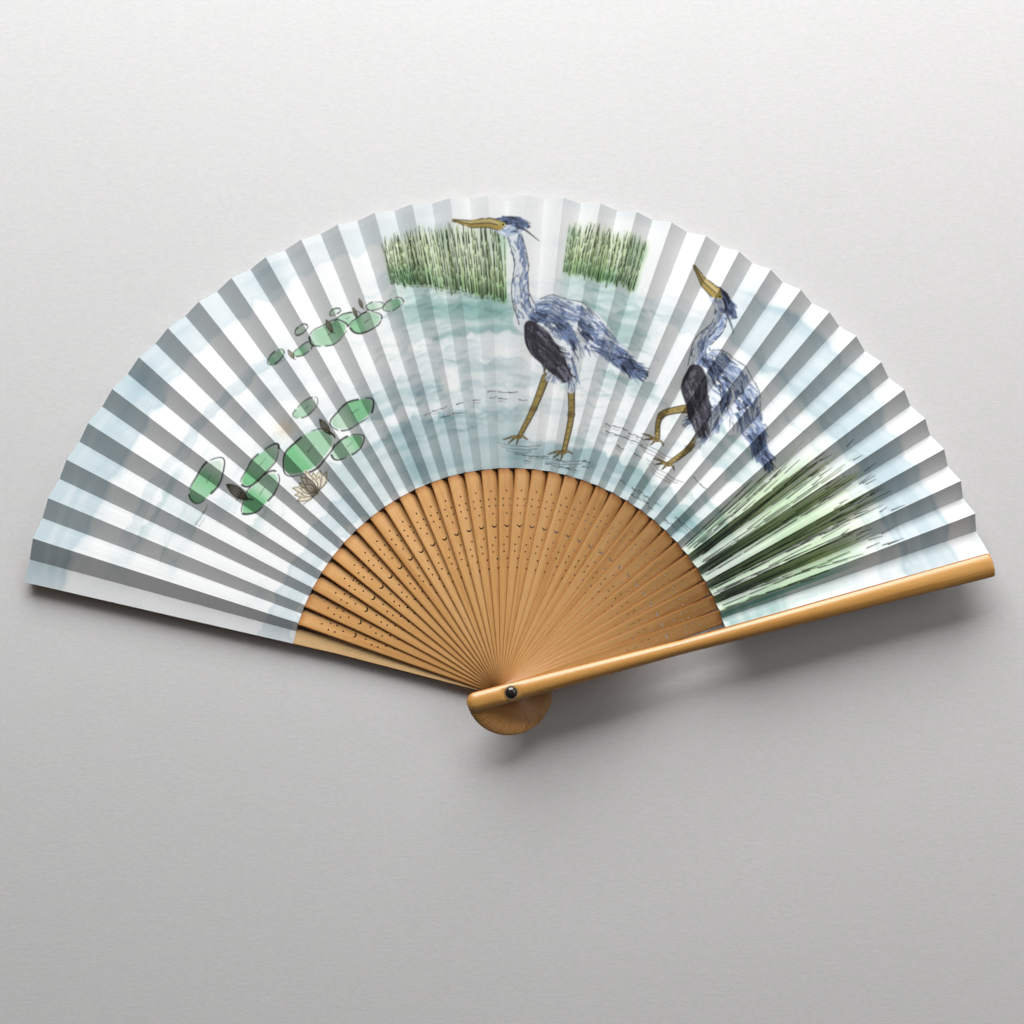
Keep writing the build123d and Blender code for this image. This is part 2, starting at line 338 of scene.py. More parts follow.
def bamboo_material(name, tones, roughness, coat, edge):
    """Bamboo split lengthwise: long fibres, fine pores, and painted shade that darkens its edges.

    The attribute "grain" is x along the stick, y across it and z its number. "rim" is 0 at its edge.
    """
    n = Nodes(name)
    grain = n.attribute("grain").outputs["Vector"]
    broad = n.noise(grain, (6, 260, 40), 3.0, 0.6)
    fibre = n.noise(grain, (25, 2600, 90), 5.0, 0.65)
    flecks = n.noise(grain, (160, 5200, 50), 2.0, 0.5)
    tone = n.math("ADD", n.math("MULTIPLY", broad, 0.55), n.math("MULTIPLY", fibre, 0.45))
    dark, middle, pale = tones
    colour = n.ramp(tone, [(0.30, dark), (0.48, middle), (0.68, pale)])
    pores = n.ramp(flecks, [(0.30, (0.55, 0.50, 0.45)), (0.42, (1, 1, 1))])
    colour = n.mix("MULTIPLY", 0.55, colour, pores)
    stick = n.noise(grain, (0.5, 0.5, 977), 0.0)
    own_tint = n.ramp(stick, [(0.3, (0.80, 0.76, 0.72)), (0.7, (1.06, 1.05, 1.03))])
    colour = n.mix("MULTIPLY", 0.5, colour, own_tint)
    rim = n.attribute("rim").outputs["Fac"]
    # painted shade: the colour darkens to red-brown towards the stick's edges, as the shade between
    # neighbouring sticks; edge sets how strong it is
    edge_shade = n.ramp(rim, [(0.0, (0.34, 0.17, 0.07)), (0.28, (0.78, 0.62, 0.48)), (0.65, (1, 1, 1))])
    colour = n.mix("MULTIPLY", edge, colour, edge_shade)
    n.bump(n.math("ADD", fibre, n.math("MULTIPLY", flecks, 0.6)), 0.25, 0.00006)
    rough = n.math("ADD", n.math("MULTIPLY", fibre, 0.18), roughness - 0.09)
    n.shader.inputs["Coat IOR"].default_value = 1.7
    return n.finish(colour, rough, 0.45, coat, 0.27)


def paper_material(name, painted):
    """Laid washi: long pale fibres, a little tooth, paint that sinks in and gathers in the hollows."""
    n = Nodes(name)
    place = n.add("ShaderNodeTexCoord").outputs["Object"]
    fibres = n.noise(place, [900] * 3, 6.0, 0.7, 0.4)
    cloud = n.noise(place, [60] * 3, 3.0, 0.5)
    tooth = n.noise(place, [3200] * 3, 2.0, 0.6)
    sheet = n.ramp(cloud, [(0.3, (0.735, 0.74, 0.74)), (0.7, (0.775, 0.78, 0.78))])
    threads = n.ramp(fibres, [(0.35, (0.90, 0.89, 0.87)), (0.55, (1, 1, 1))])
    colour = n.mix("MULTIPLY", 0.35, sheet, threads)
    if painted:
        paint = n.attribute("paint").outputs["Color"]
        granules = n.ramp(tooth, [(0.25, (0.86, 0.87, 0.88)), (0.60, (1.04, 1.04, 1.04))])
        paint = n.mix("MULTIPLY", 0.5, paint, granules)
        colour = n.mix("MULTIPLY", 1.0, colour, paint)
    n.bump(n.math("ADD", fibres, n.math("MULTIPLY", tooth, 0.5)), 0.22, 0.00008)
    material = n.finish(colour, 0.82, 0.25)
    n.shader.inputs["Sheen Weight"].default_value = 0.06
    return material


def resin_material():
    n = Nodes("rivet_resin")
    place = n.add("ShaderNodeTexCoord").outputs["Object"]
    scuffs = n.noise(place, [1500] * 3, 4.0, 0.6)
    colour = n.ramp(scuffs, [(0.3, (0.010, 0.008, 0.007)), (0.8, (0.035, 0.028, 0.024))])
    rough = n.math("ADD", n.math("MULTIPLY", scuffs, 0.2), 0.08)
    n.bump(scuffs, 0.08, 0.00005)
    return n.finish(colour, rough, 0.6, 0.4, 0.08)


def washer_material():
    n = Nodes("washer_bone")
    place = n.add("ShaderNodeTexCoord").outputs["Object"]
    mottle = n.noise(place, [700] * 3, 4.0, 0.6)
    colour = n.ramp(mottle, [(0.3, (0.20, 0.12, 0.055)), (0.7, (0.36, 0.24, 0.12))])
    n.bump(mottle, 0.15, 0.00005)
    return n.finish(colour, 0.42, 0.5)


def floor_material():
    n = Nodes("studio_floor")
    place = n.add("ShaderNodeTexCoord").outputs["Object"]
    fibres = n.noise(place, (430, 1150, 430), 3.0, 0.65, 0.6)
    cloud = n.noise(place, [6] * 3, 2.0, 0.5)
    tint = n.noise(place, (110, 190, 110), 3.0, 0.6)
    tone = n.math("ADD", n.math("MULTIPLY", fibres, 0.8), n.math("MULTIPLY", cloud, 0.2))
    colour = n.ramp(tone, [(0.25, (0.665, 0.655, 0.655)), (0.75, (0.765, 0.755, 0.755))])
    cast = n.ramp(tint, [(0.35, (1.0, 0.99, 1.0)), (0.65, (0.99, 1.0, 0.985))])
    colour = n.mix("MULTIPLY", 1.0, colour, cast)
    n.bump(fibres, 0.25, 0.0002)
    return n.finish(colour, 0.9, 0.15)


# ---------------------------------------------------------------- the painting
INK = (0.012, 0.014, 0.016)
SKY = (0.57, 0.70, 0.755)
WATER = (0.40, 0.575, 0.60)
TEAL = (0.24, 0.50, 0.47)
GREEN = (0.22, 0.56, 0.28)
CREAM = (0.84, 0.76, 0.60)
REED_WET, REED_DRY = (0.70, 0.80, 0.48), (0.42, 0.58, 0.34)
EVEN = (1.0, 1.0)  # a stroke that keeps its width
EVERYWHERE = (slice(None), slice(None))


def fade(value, low, high):
    """0 below low, 1 above high, smooth between."""
    t = np.clip((value - low) / (high - low), 0, 1)
    return t * t * (3 - 2 * t)


def bell(value, middle, half):
    return np.exp(-(((value - middle) / half) ** 2))


def between(azimuth, right, left):
    """1 inside a sector and 0 outside it. Each side is the low and the high azimuth that it fades over."""
    return fade(azimuth, *right) * (1 - fade(azimuth, *left))


def bilinear(grid, row, column, ease=False):
    """Values of a grid between its points. row and column broadcast; ease rounds the steps between cells."""
    r0, c0 = row.astype(int), column.astype(int)
    fr, fc = row - r0, column - c0
    if ease:
        fr, fc = fr * fr * (3 - 2 * fr), fc * fc * (3 - 2 * fc)
    if grid.ndim == 3:
        fr, fc = fr[..., None], fc[..., None]
    low = grid[r0, c0] * (1 - fc) + grid[r0, c0 + 1] * fc
    high = grid[r0 + 1, c0] * (1 - fc) + grid[r0 + 1, c0 + 1] * fc
    return low * (1 - fr) + high * fr


class Painting:
    """The leaf's picture, worked out on a fine polar grid over the leaf and read back at each vertex.

    Places are millimetres in the plane of the open fan, X to the right and Y up from the pivot.
    """

    FIRST, LAST = 169.0, 11.0
    COLUMNS, ROWS = 2700, 480

    def __init__(self):
        self.random = np.random.default_rng(SEED)
        self.azimuth = np.linspace(self.FIRST, self.LAST, self.COLUMNS)
        self.radius = np.linspace(LEAF_INNER - 1, LEAF_OUTER + 1, self.ROWS)
        self.distance = self.radius[:, None]
        turn = np.radians(self.azimuth)[None, :]
        self.x = self.distance * np.cos(turn)
        self.y = self.distance * np.sin(turn)
        self.paint = np.ones((self.ROWS, self.COLUMNS, 3))

    def read(self, x, y):
        """Colour at places in metres, blended between grid points."""
        radius = np.hypot(x, y) / MM
        azimuth = np.degrees(np.arctan2(y, x))
        row = (radius - self.radius[0]) / (self.radius[-1] - self.radius[0]) * (self.ROWS - 1)
        column = (azimuth - self.FIRST) / (self.LAST - self.FIRST) * (self.COLUMNS - 1)
        row = np.clip(row, 0, self.ROWS - 1.001)
        column = np.clip(column, 0, self.COLUMNS - 1.001)
        return bilinear(self.paint, row, column)

    def window(self, x, y, reach):
        """Grid slices that hold every place within reach of the points given."""
        x, y = np.atleast_1d(x), np.atleast_1d(y)
        radius = np.hypot(x, y)
        azimuth = np.degrees(np.arctan2(y, x))
        spread = math.degrees(reach / max(40.0, radius.min()))
        per_row = (self.radius[-1] - self.radius[0]) / (self.ROWS - 1)
        per_column = (self.FIRST - self.LAST) / (self.COLUMNS - 1)
        r0 = int((radius.min() - reach - self.radius[0]) / per_row)
        r1 = int((radius.max() + reach - self.radius[0]) / per_row) + 2
        c0 = int((self.FIRST - azimuth.max() - spread) / per_column)
        c1 = int((self.FIRST - azimuth.min() + spread) / per_column) + 2
        rows = slice(max(0, r0), min(self.ROWS, max(r1, 0)))
        columns = slice(max(0, c0), min(self.COLUMNS, max(c1, 0)))
        return rows, columns

    def glaze(self, area, strength, colour):
        """A see-through layer: darkens what is under it, as watercolour does."""
        layer = 1 - strength[..., None] * (1 - np.asarray(colour))
        self.paint[area] *= layer

    def wash(self, strength, colour):
        """A glaze over the whole grid."""
        self.glaze(EVERYWHERE, strength, colour)

    def cover(self, area, strength, colour):
        """An opaque layer, such as ink or body colour."""
        old = self.paint[area]
        self.paint[area] = old + strength[..., None] * (np.asarray(colour) - old)

    def clouds(self, across, along, seed):
        """Smooth random field over the whole grid, from 0 to 1.

        Its cells measure across millimetres along the arc and along millimetres along the radius.
        """
        random = np.random.default_rng(seed)
        middle = (LEAF_INNER + LEAF_OUTER) / 2
        cells_c = max(2, int(math.radians(self.FIRST - self.LAST) * middle / across))
        cells_r = max(2, int((LEAF_OUTER - LEAF_INNER) / along))
        lattice = random.random((cells_r + 3, cells_c + 3))
        row = np.linspace(0, cells_r, self.ROWS)[:, None]
        column = np.linspace(0, cells_c, self.COLUMNS)[None, :]
        return bilinear(lattice, row, column, ease=True)

    def patches(self, across, along, seed, low, high):
        """Clouds with firmer edges: 0 where they are below low, 1 above high."""
        return fade(self.clouds(across, along, seed), low, high)

    def stroke(self, points, width, colour, strength, taper=EVEN, soft=0.25, glaze=False):
        """A brush line along points. Its width changes evenly from taper[0] to taper[1] times width."""
        points = np.asarray(points, float)
        area = self.window(points[:, 0], points[:, 1], width + 1.0)
        px, py = self.x[area], self.y[area]
        if px.size == 0:
            return
        lengths = np.hypot(*np.diff(points, axis=0).T)
        before = np.concatenate([[0], np.cumsum(lengths)])
        total = max(before[-1], 1e-6)
        mark = np.zeros(px.shape)
        for k in range(len(points) - 1):
            (ax, ay), (bx, by) = points[k], points[k + 1]
            t = ((px - ax) * (bx - ax) + (py - ay) * (by - ay)) / max(lengths[k] ** 2, 1e-9)
            t = np.clip(t, 0, 1)
            gap = np.hypot(px - ax - t * (bx - ax), py - ay - t * (by - ay))
            share = (before[k] + t * lengths[k]) / total
            half = width / 2 * (taper[0] + (taper[1] - taper[0]) * share)
            mark = np.maximum(mark, np.clip((half - gap) / soft + 0.5, 0, 1))
        (self.glaze if glaze else self.cover)(area, mark * strength, colour)

    def tint(self, points, width, colour, strength, taper=(1.2, 0.6), soft=0.25):
        """A see-through brush line."""
        self.stroke(points, width, colour, strength, taper, soft, glaze=True)

    def pen(self, points, width, strength, taper=(1.1, 0.6)):
        """An ink line."""
        self.stroke(points, width, INK, strength, taper)


def at(azimuth, radius):
    """Place on the open fan from its azimuth in degrees and its distance from the pivot in millimetres."""
    turn = math.radians(azimuth)
    return np.array([radius * math.cos(turn), radius * math.sin(turn)])


def standing(azimuth, radius):
    """A place on the open fan, with the directions outwards and to the right of it."""
    place = at(azimuth, radius)
    out = unit(place)
    return place, out, np.array([out[1], -out[0]])


def arc_points(azimuth_a, azimuth_b, radius_a, radius_b, count=12, wave=0.0, phase=0.0):
    """Points along an arc round the pivot, with an optional gentle wave."""
    share = np.linspace(0, 1, count)
    azimuth = np.radians(azimuth_a + (azimuth_b - azimuth_a) * share)
    radius = radius_a + (radius_b - radius_a) * share + wave * np.sin(phase + share * 2 * math.pi)
    return np.stack([radius * np.cos(azimuth), radius * np.sin(azimuth)], 1)


def wash_band(art, radius, half, azimuths, colour, strength, seed, ragged):
    """A level wash of colour at a distance from the pivot, between two azimuths.

    It has streaks, a ragged edge, and the darker rim that watercolour leaves where it dries.
    """
    azimuth, distance = art.azimuth, art.distance
    off_line = distance - radius
    for cells, depth in (((45, 30, seed), 7), ((5, 14, seed + 2), 4), ((2.6, 8, seed + 3), 2.2)):
        off_line = off_line - (art.clouds(*cells) - 0.5) * depth
    streaks = art.clouds(26, 2.6, seed + 1)
    left, right = azimuths
    ends = between(azimuth, (right - 2, right + 3), (left - 3, left + 2))
    body = 1 - fade(np.abs(off_line), half * 0.80, half * 1.08)
    rim = bell(np.abs(off_line), half * 0.86, 0.7) * 0.2
    texture = 1 - ragged + ragged * fade(streaks, 0.25, 0.75)
    if half <= 6:
        ends = ends * art.patches(11, 9, seed + 4, 0.35, 0.6)
    art.wash(np.clip((body * texture + rim) * ends * strength, 0, 1), colour)


def paint_water(art):
    """Sky and water in level bands: cold blue round the outside and the inside, blue-green between."""
    bands = [  # radius, half its depth, azimuths, colour, strength, seed, how ragged it is
        (201, 15, (168, 138), SKY, 0.84, 20, 0.25),
        (203, 13, (141, 118), SKY, 0.70, 25, 0.35),
        (204, 12, (122, 96), SKY, 0.40, 30, 0.45),
        (98, 7, (168, 128), SKY, 0.62, 40, 0.25),
        (104, 14, (132, 110), WATER, 0.60, 45, 0.35),
        (103, 15, (116, 86), WATER, 0.78, 50, 0.30),
        (95, 9, (90, 40), WATER, 0.75, 60, 0.35),
        (106, 6, (78, 44), TEAL, 0.40, 65, 0.75),
        (121, 6, (126, 90), SKY, 0.40, 70, 0.5),
        (132, 6, (126, 84), WATER, 0.58, 80, 0.55),
        (140, 5, (150, 92), SKY, 0.42, 90, 0.6),
        (157, 9.5, (107.5, 68), TEAL, 0.60, 100, 0.5),
        (150, 4, (160, 144), TEAL, 0.62, 110, 0.7),
        (160, 6, (160, 146), TEAL, 0.50, 120, 0.8),
        (171, 2.5, (158, 112), SKY, 0.55, 130, 0.5),
        (124, 4, (150, 136), TEAL, 0.32, 140, 0.8),
        (127, 4, (88, 58), TEAL, 0.50, 150, 0.6),
        (138, 4, (86, 60), TEAL, 0.40, 160, 0.7),
        (117, 4, (84, 50), SKY, 0.45, 165, 0.7),
        (171, 6, (82, 58), SKY, 0.45, 170, 0.6),
        (184, 12, (60, 14), SKY, 0.84, 180, 0.3),
        (168, 7, (54, 16), WATER, 0.34, 185, 0.6),
        (136, 7, (55, 40), TEAL, 0.55, 190, 0.6),
        (106, 9, (46, 34), TEAL, 0.55, 200, 0.5),
        (178, 6, (112, 100), SKY, 0.40, 210, 0.6),
        (155, 5, (150, 110), SKY, 0.22, 215, 0.8),
        (108, 15, (21.5, 14), TEAL, 0.55, 220, 0.5),
    ]
    for band in bands:
        wash_band(art, *band)
    for _ in range(260):
        azimuth, radius = 68 + 44 * art.random.random(), 108 + 66 * art.random.random() ** 0.9
        span = (4 + 10 * art.random.random()) / radius * 57.3  # degrees
        line = arc_points(azimuth, azimuth - span, radius, radius, 7, 0.7, 6.3 * art.random.random())
        colour = (TEAL, WATER, SKY)[art.random.integers(0, 3)]
        depth = 0.10 + 0.22 * art.random.random()
        art.tint(line, 1.0 + 1.4 * art.random.random(), colour, depth, (0.8, 0.4), soft=0.9)
    mist = art.clouds(22, 9, 400) * (0.5 + 0.5 * art.clouds(6, 2.5, 401))
    art.wash(fade(mist, 0.25, 0.8) * 0.28, SKY)
    warm = bell(art.azimuth, 130.5, 1.6) * bell(art.distance, 143, 4)
    art.wash(warm * 0.6, (0.92, 0.76, 0.50))


def ripple(art, azimuth_a, azimuth_b, radius, rise=0.0):
    """A broken pen line on the water, drawn as a few short dashes with a second one just under it."""
    spots = np.linspace(azimuth_a, azimuth_b, max(3, int(abs(azimuth_a - azimuth_b) / 1.5)))
    for k in range(len(spots) - 1):
        if art.random.random() < 0.25:
            continue
        level = radius + rise * k + art.random.normal(0, 0.25)
        line = arc_points(spots[k], spots[k + 1] + 0.3, level, level + rise, 5, 0.15, k)
        art.pen(line, 0.52, 0.65 + 0.35 * art.random.random())
        if art.random.random() < 0.45:
            art.pen(line - line[0] * 0.010, 0.42, 0.55, (0.9, 0.5))


def paint_ripples(art):
    for spec in [  # from and to azimuth, radius, rise from dash to dash
        (107, 92, 119.5, 0.25), (104, 99, 116.5, 0), (92, 86, 120.5, 0.0), (94, 88, 124, 0),
        (73, 60, 114.5, 0.1), (70, 58, 117.5, 0.1), (68, 60, 110.5, 0), (90, 70, 97.5, 0.0),
        (86, 72, 95.0, 0), (72, 66, 99.5, 0.2), (48.5, 41, 121.5, 0.1), (49, 43, 116, 0), (62, 50, 98, 0),
        (58, 44, 95.5, 0), (46, 41, 99, 0.2), (152, 146, 146.5, 0.0), (149, 143, 138, 0.0),
    ]:
        ripple(art, *spec)


def lily_pad(art, azimuth, radius, long_half, short_half, tone, pale_side):
    """A floating leaf seen low: an ellipse along the arc, wet green, paler to one side, outlined in pen."""
    centre, out, right = standing(azimuth, radius)
    area = art.window(*centre, long_half + 2)
    dx, dy = art.x[area] - centre[0], art.y[area] - centre[1]
    u = (dx * right[0] + dy * right[1]) / long_half
    v = (dx * out[0] + dy * out[1]) / short_half
    angle = np.arctan2(v, u)
    wobble = 1 + 0.03 * np.sin(2 * angle + azimuth) + 0.012 * np.sin(5 * angle + radius)
    rim = np.hypot(u, v) / wobble
    inside = 1 - fade(rim, 0.90, 1.02)
    pool = 0.55 + 0.45 * fade(-u * pale_side, -0.9, 0.5) + 0.15 * np.sin(u * 5 + azimuth)
    art.cover(area, inside * 0.75, (0.98, 1.0, 0.97))
    art.glaze(area, inside * np.clip(pool, 0.15, 1) * tone, GREEN)
    pen = 0.62 if short_half > 3 else 0.48
    slip = right * art.random.normal(0.3, 0.3) + out * art.random.normal(0, 0.3)
    start = 6.28 * art.random.random()
    for first, last in ((0.0, 2.7), (2.9, 4.2), (4.5, 5.9)):
        line = []
        for turn in np.linspace(start + first, start + last, 16):
            reach = 1.03 + 0.03 * math.sin(2 * turn + azimuth) + 0.03 * math.sin(5 * turn + radius)
            side = right * (math.cos(turn) * long_half * reach) + out * (math.sin(turn) * short_half * reach)
            line.append(centre + slip + side)
        art.pen(line, pen * (0.8 + 0.5 * art.random.random()), 0.95, (1.3, 0.6))
    if short_half > 2.5:
        notch = [centre, centre + right * long_half * 0.35 + out * short_half * 0.10]
        art.pen(notch, 0.45, 0.7, (1, 0.4))


def bud(art, azimuth, radius, size):
    """A closed water-lily bud: a slim dark spindle of petals that points outwards, with paler ribs."""
    base, out, right = standing(azimuth, radius)
    share = np.linspace(0, 1, 9)
    bow = np.sin(share * math.pi) ** 0.8 * size * 0.30
    for lean in (-1.0, -0.5, 0.0, 0.5, 1.0):
        petal = base + out * (share[:, None] - 0.5) * size * 1.7 + right * (bow * lean)[:, None]
        art.stroke(petal, size * 0.19, (0.06, 0.05, 0.03), 0.95, (0.9, 0.5))
    for lean in (-0.6, 0.05, 0.65):
        petal = base + out * (share[1:8, None] - 0.5) * size * 1.5 + right * (bow[1:8] * lean)[:, None]
        art.stroke(petal, 0.35, (0.40, 0.34, 0.20), 0.75, (0.6, 0.8))
    foot = base - out * size * 0.8
    art.stroke([foot, foot - out * size * 0.35 + right * size * 0.2], size * 0.14, (0.05, 0.045, 0.04), 0.85)


def lily_flower(art, azimuth, radius, size):
    """An open water lily: two rows of cream petals, shaded at their feet, outlined in pen."""
    base, out, right = standing(azimuth, radius)
    rows = [(1.0, np.linspace(-1.25, 1.25, 9), 1.0), (0.72, np.linspace(-0.95, 0.95, 6), 0.9)]
    for reach, leans, width in rows:
        order = sorted(leans, key=lambda a: -abs(a))
        for lean in order:
            direction = out * math.cos(lean) + right * math.sin(lean)
            across = np.array([direction[1], -direction[0]])
            tip = base + direction * size * reach * (1 + 0.1 * math.sin(7 * lean))
            share = np.linspace(0, 1, 9)[:, None]
            bow = across * np.sin(share * math.pi) * size * 0.17 * width
            middle = base + (tip - base) * share
            for inner in np.linspace(-1, 1, 5):
                art.stroke(middle + bow * inner, size * 0.12, CREAM, 0.92, (0.8, 0.7))
            art.stroke(middle[:5], size * 0.18, (0.40, 0.28, 0.13), 0.65, (1.2, 0.3))
            for side in (-1, 1):
                art.stroke(middle + bow * side, 0.46, (0.06, 0.045, 0.03), 0.9, (1.1, 0.7))
    foot = [base - right * size * 0.8, base - out * size * 0.06, base + right * size * 0.8]
    art.stroke(foot, 0.8, (0.12, 0.09, 0.05), 0.75, (0.6, 0.6))


def paint_lilies(art):
    near_pads = [  # azimuth, radius, half length, half depth, strength, paler side
        (125.8, 144.5, 6.0, 2.7, 0.70, 1), (145.4, 152.5, 10.4, 4.8, 0.95, 1),
        (137.9, 139.2, 11.0, 3.7, 1.0, 1), (141.7, 131.6, 10.8, 4.5, 1.0, 1),
        (130.2, 129.6, 12.8, 6.6, 1.0, 1), (119.5, 132.0, 9.8, 4.8, 0.95, -1),
        (123.6, 121.4, 7.8, 3.6, 0.9, -1),
    ]
    far_pads = [
        (124.8, 168.8, 4.2, 2.0, 0.85, 1), (121.1, 165.4, 4.6, 1.9, 0.8, 1),
        (120.0, 173.0, 3.0, 1.6, 0.5, 1), (114.7, 173.2, 2.4, 1.2, 0.5, 1),
        (113.6, 168.6, 5.6, 2.6, 0.7, 1), (116.9, 166.0, 8.4, 4.4, 0.85, -1),
        (111.3, 164.2, 7.0, 3.6, 0.85, 1), (109.2, 169.0, 3.6, 1.7, 0.6, 1),
        (106.8, 167.2, 4.4, 2.2, 0.8, -1),
    ]
    buds = [  # azimuth, radius, size
        (143.8, 139.8, 6.2), (124.9, 133.6, 4.4), (122.9, 166.4, 2.6),
        (116.2, 169.0, 3.4), (112.1, 170.0, 2.5), (110.9, 172.2, 2.4),
    ]
    for pad in near_pads + far_pads:
        lily_pad(art, *pad)
    for spec in buds:
        bud(art, *spec)
    lily_flower(art, 134.2, 114.8, 9.0)


REED_WIDTH = 0.75
REED_PEN_SHARE = 0.85  # how many of the reeds have pen work


def reed_clump(art, azimuths, foot, top, count, lean):
    """Upright reeds. foot and top give the radius of the ends at the clump's left and right side."""
    for k in range(count):
        share = (k + art.random.random()) / count
        azimuth = azimuths[0] + (azimuths[1] - azimuths[0]) * share
        low = foot[0] + (foot[1] - foot[0]) * share + art.random.normal(0, 1.0)
        high = top[0] + (top[1] - top[0]) * share - abs(art.random.normal(0, 2.2))
        tilt = lean * (share - 0.5) * 2 + art.random.normal(0, 0.35)
        steps = np.linspace(0, 1, 5)
        line = [at(azimuth + tilt * s * s, low + (high - low) * s) for s in steps]
        strength = 0.25 + 0.3 * art.random.random()
        art.tint(line, REED_WIDTH * (0.8 + 0.5 * art.random.random()), REED_WET, strength)
        if art.random.random() < 0.5:
            art.tint(line[:3], REED_WIDTH, REED_DRY, 0.32, (1.3, 0.5))
        if art.random.random() < REED_PEN_SHARE:
            pen_reed(art, line)


def pen_reed(art, line):
    """The pen work on a reed: dark broken dashes with gaps, as a quick pen leaves."""
    line = np.asarray(line)
    dashes = art.random.integers(3, 6)
    for k in range(dashes):
        a = (k + 0.15 * art.random.random()) / dashes
        b = a + (0.55 + 0.35 * art.random.random()) / dashes
        places = np.linspace(a, b, 3) * (len(line) - 1)
        low = np.clip(places.astype(int), 0, len(line) - 2)
        points = line[low] + (line[low + 1] - line[low]) * (places - low)[:, None]
        art.stroke(points, 0.40, (0.02, 0.028, 0.015), 0.8 + 0.2 * art.random.random(), (1.1, 0.6))


def paint_reeds(art):
    clump = art.clouds(9, 12, 300)
    azimuth, distance = art.azimuth, art.distance
    clumps = [(106.2, 90.2, 176, 161, 196), (82.6, 72.2, 175.5, 174.5, 197.5)]
    for left, right, left_foot, right_foot, high in clumps:
        foot = left_foot + (right_foot - left_foot) * (left - azimuth) / (left - right)
        sector = between(azimuth, (right - 0.4, right + 0.2), (left - 0.4, left + 0.2))
        block = fade(distance, foot - 1.5, foot + 1.5) * (1 - fade(distance, high - 6, high + 1)) * sector
        art.wash(block * (0.5 + 0.4 * clump), (0.74, 0.85, 0.58))
        patch = art.patches(7, 16, 305, 0.5, 0.75)
        art.wash(block * patch * 0.6, (0.50, 0.72, 0.62))
        base = bell(distance, foot + 2.5, 4.5) * sector
        art.wash(base * 0.45, (0.30, 0.55, 0.42))
        shade = bell(distance, foot - 6, 6.5) * between(azimuth, (right - 3, right + 2), (left - 2, left + 2))
        art.wash(shade * 0.5 * (0.5 + clump), (0.36, 0.66, 0.62))
    reed_clump(art, (106.0, 90.3), (176, 161.5), (197.5, 196), count=90, lean=0.35)
    reed_clump(art, (82.4, 72.4), (175.5, 174.5), (199, 198), count=58, lean=0.3)
    for k in range(2):
        foot_line = arc_points(106.1, 90.4, 176.2 - k, 161.4 - k, 40, 0.5, k)
        for a in range(0, 38, 2):
            art.pen(foot_line[a:a + 2], 0.45, 0.4 + 0.4 * art.random.random(), EVEN)
    paint_near_reeds(art)


def away_from_window(art):
    """1 where a panel slopes away from the window and 0 elsewhere, by azimuth near the leaf's inner edge."""
    folds = [fold for k in range(1, RIB_COUNT + 1) for fold in (mountain(k), valley(k))]
    result = np.zeros(art.COLUMNS)
    for first, second in zip(folds, folds[1:]):
        places = [fold.along(0.3) for fold in (first, second)]
        limits = sorted(math.degrees(math.atan2(p[1], p[0])) for p in places)
        normal = np.cross(second.inner - first.inner, first.outer - first.inner)
        if normal[1] * normal[2] < 0:
            result[(art.azimuth > limits[0]) & (art.azimuth <= limits[1])] = 1
    return result[None, :]


def blade(azimuth, lean, low, high):
    """A straight blade from one radius to another, which leans by some degrees on its way."""
    return [at(azimuth + lean * s, low + (high - low) * s) for s in np.linspace(0, 1, 6)]


def paint_near_reeds(art):
    """The big clump at the right: blades that fan out from the inner edge, near-black at the foot.

    The colour is painted thin on the panels that face the window, so the white paper shows between the blades
    there, and dense on the panels that slope away from it: painted light and shade by each panel's facing.
    """
    azimuth, distance = art.azimuth, art.distance
    bare = art.paint.copy()
    spread = between(azimuth, (18.8, 21.0), (37.4, 39.6))
    gaps = art.patches(1.3, 70, 310, 0.42, 0.62) * (0.6 + 0.4 * art.patches(5, 60, 312, 0.3, 0.6))
    body = 1 - fade(distance, 140, 172)
    art.wash(spread * body * (0.25 + 0.75 * gaps) * 0.75, (0.50, 0.68, 0.20))
    foot = (1 - fade(distance, 100, 134)) * spread * (0.4 + 0.6 * gaps)
    art.wash(foot * 0.75, (0.12, 0.34, 0.25))
    foot = (1 - fade(distance, 92, 108)) * between(azimuth, (21, 23), (35, 38))
    art.wash(foot * 0.5, (0.08, 0.13, 0.11))
    side = between(azimuth, (15.0, 17.5), (21, 23)) * (1 - fade(distance, 136, 160))
    art.wash(side * (0.3 + 0.6 * art.patches(1.6, 40, 311, 0.35, 0.7)), (0.12, 0.50, 0.40))
    blades = []
    for k in range(190):
        share = art.random.random()
        root = 38.2 - 17.4 * share
        lean = (0.5 - share) * 2.4 + art.random.normal(0, 0.7)
        low = 92 + abs(art.random.normal(0, 6))
        high = 168 + art.random.normal(0, 6) - 76 * abs(share - 0.5) ** 1.6
        line = blade(root, lean, low, high)
        blades.append(line)
        art.tint(line, 0.95, (0.50, 0.64, 0.16), 0.42)
        if k % 3 == 0:
            art.tint(line[:4], 0.9, (0.12, 0.30, 0.18), 0.45, (1.2, 0.5))
    # painted light and shade: the reeds are kept denser on the panels that slope away from the window and
    # thinner on those that face it
    shaded = away_from_window(art)[..., None]
    painted_shade_density = 0.34 + 0.54 * shaded
    art.paint = bare * (1 - painted_shade_density) + art.paint * painted_shade_density
    # painted light: a pale green glaze only on the panels that face the window
    lit = (1 - shaded[..., 0]) * spread * (1 - fade(distance, 134, 172))
    art.wash(lit * (0.35 + 0.5 * art.patches(4, 40, 314, 0.3, 0.7)), (0.74, 0.90, 0.66))
    for k, line in enumerate(blades):
        if k % 9 < 2:
            pen_reed(art, line)
    # blades that stand apart at the clump's sides: azimuth, lean, upper radius
    strays = [(39.4, 1.2, 132), (38.8, 1.0, 143), (38.2, 0.8, 136), (21.6, 0.2, 152), (20.8, -0.4, 140)]
    for root, lean, high in strays:
        line = blade(root, lean, 94, high)
        art.tint(line, 0.9, (0.25, 0.45, 0.22), 0.6, (0.6, 1.2))
        pen_reed(art, line)
    for _ in range(46):
        place = 20 + 17 * art.random.random()
        level = 150 + 26 * art.random.random() ** 1.2
        end = at(place + art.random.normal(0, 0.2), level + 3.5 + 3.5 * art.random.random())
        art.pen([at(place, level), end], 0.5, 0.85, (1.1, 0.5))


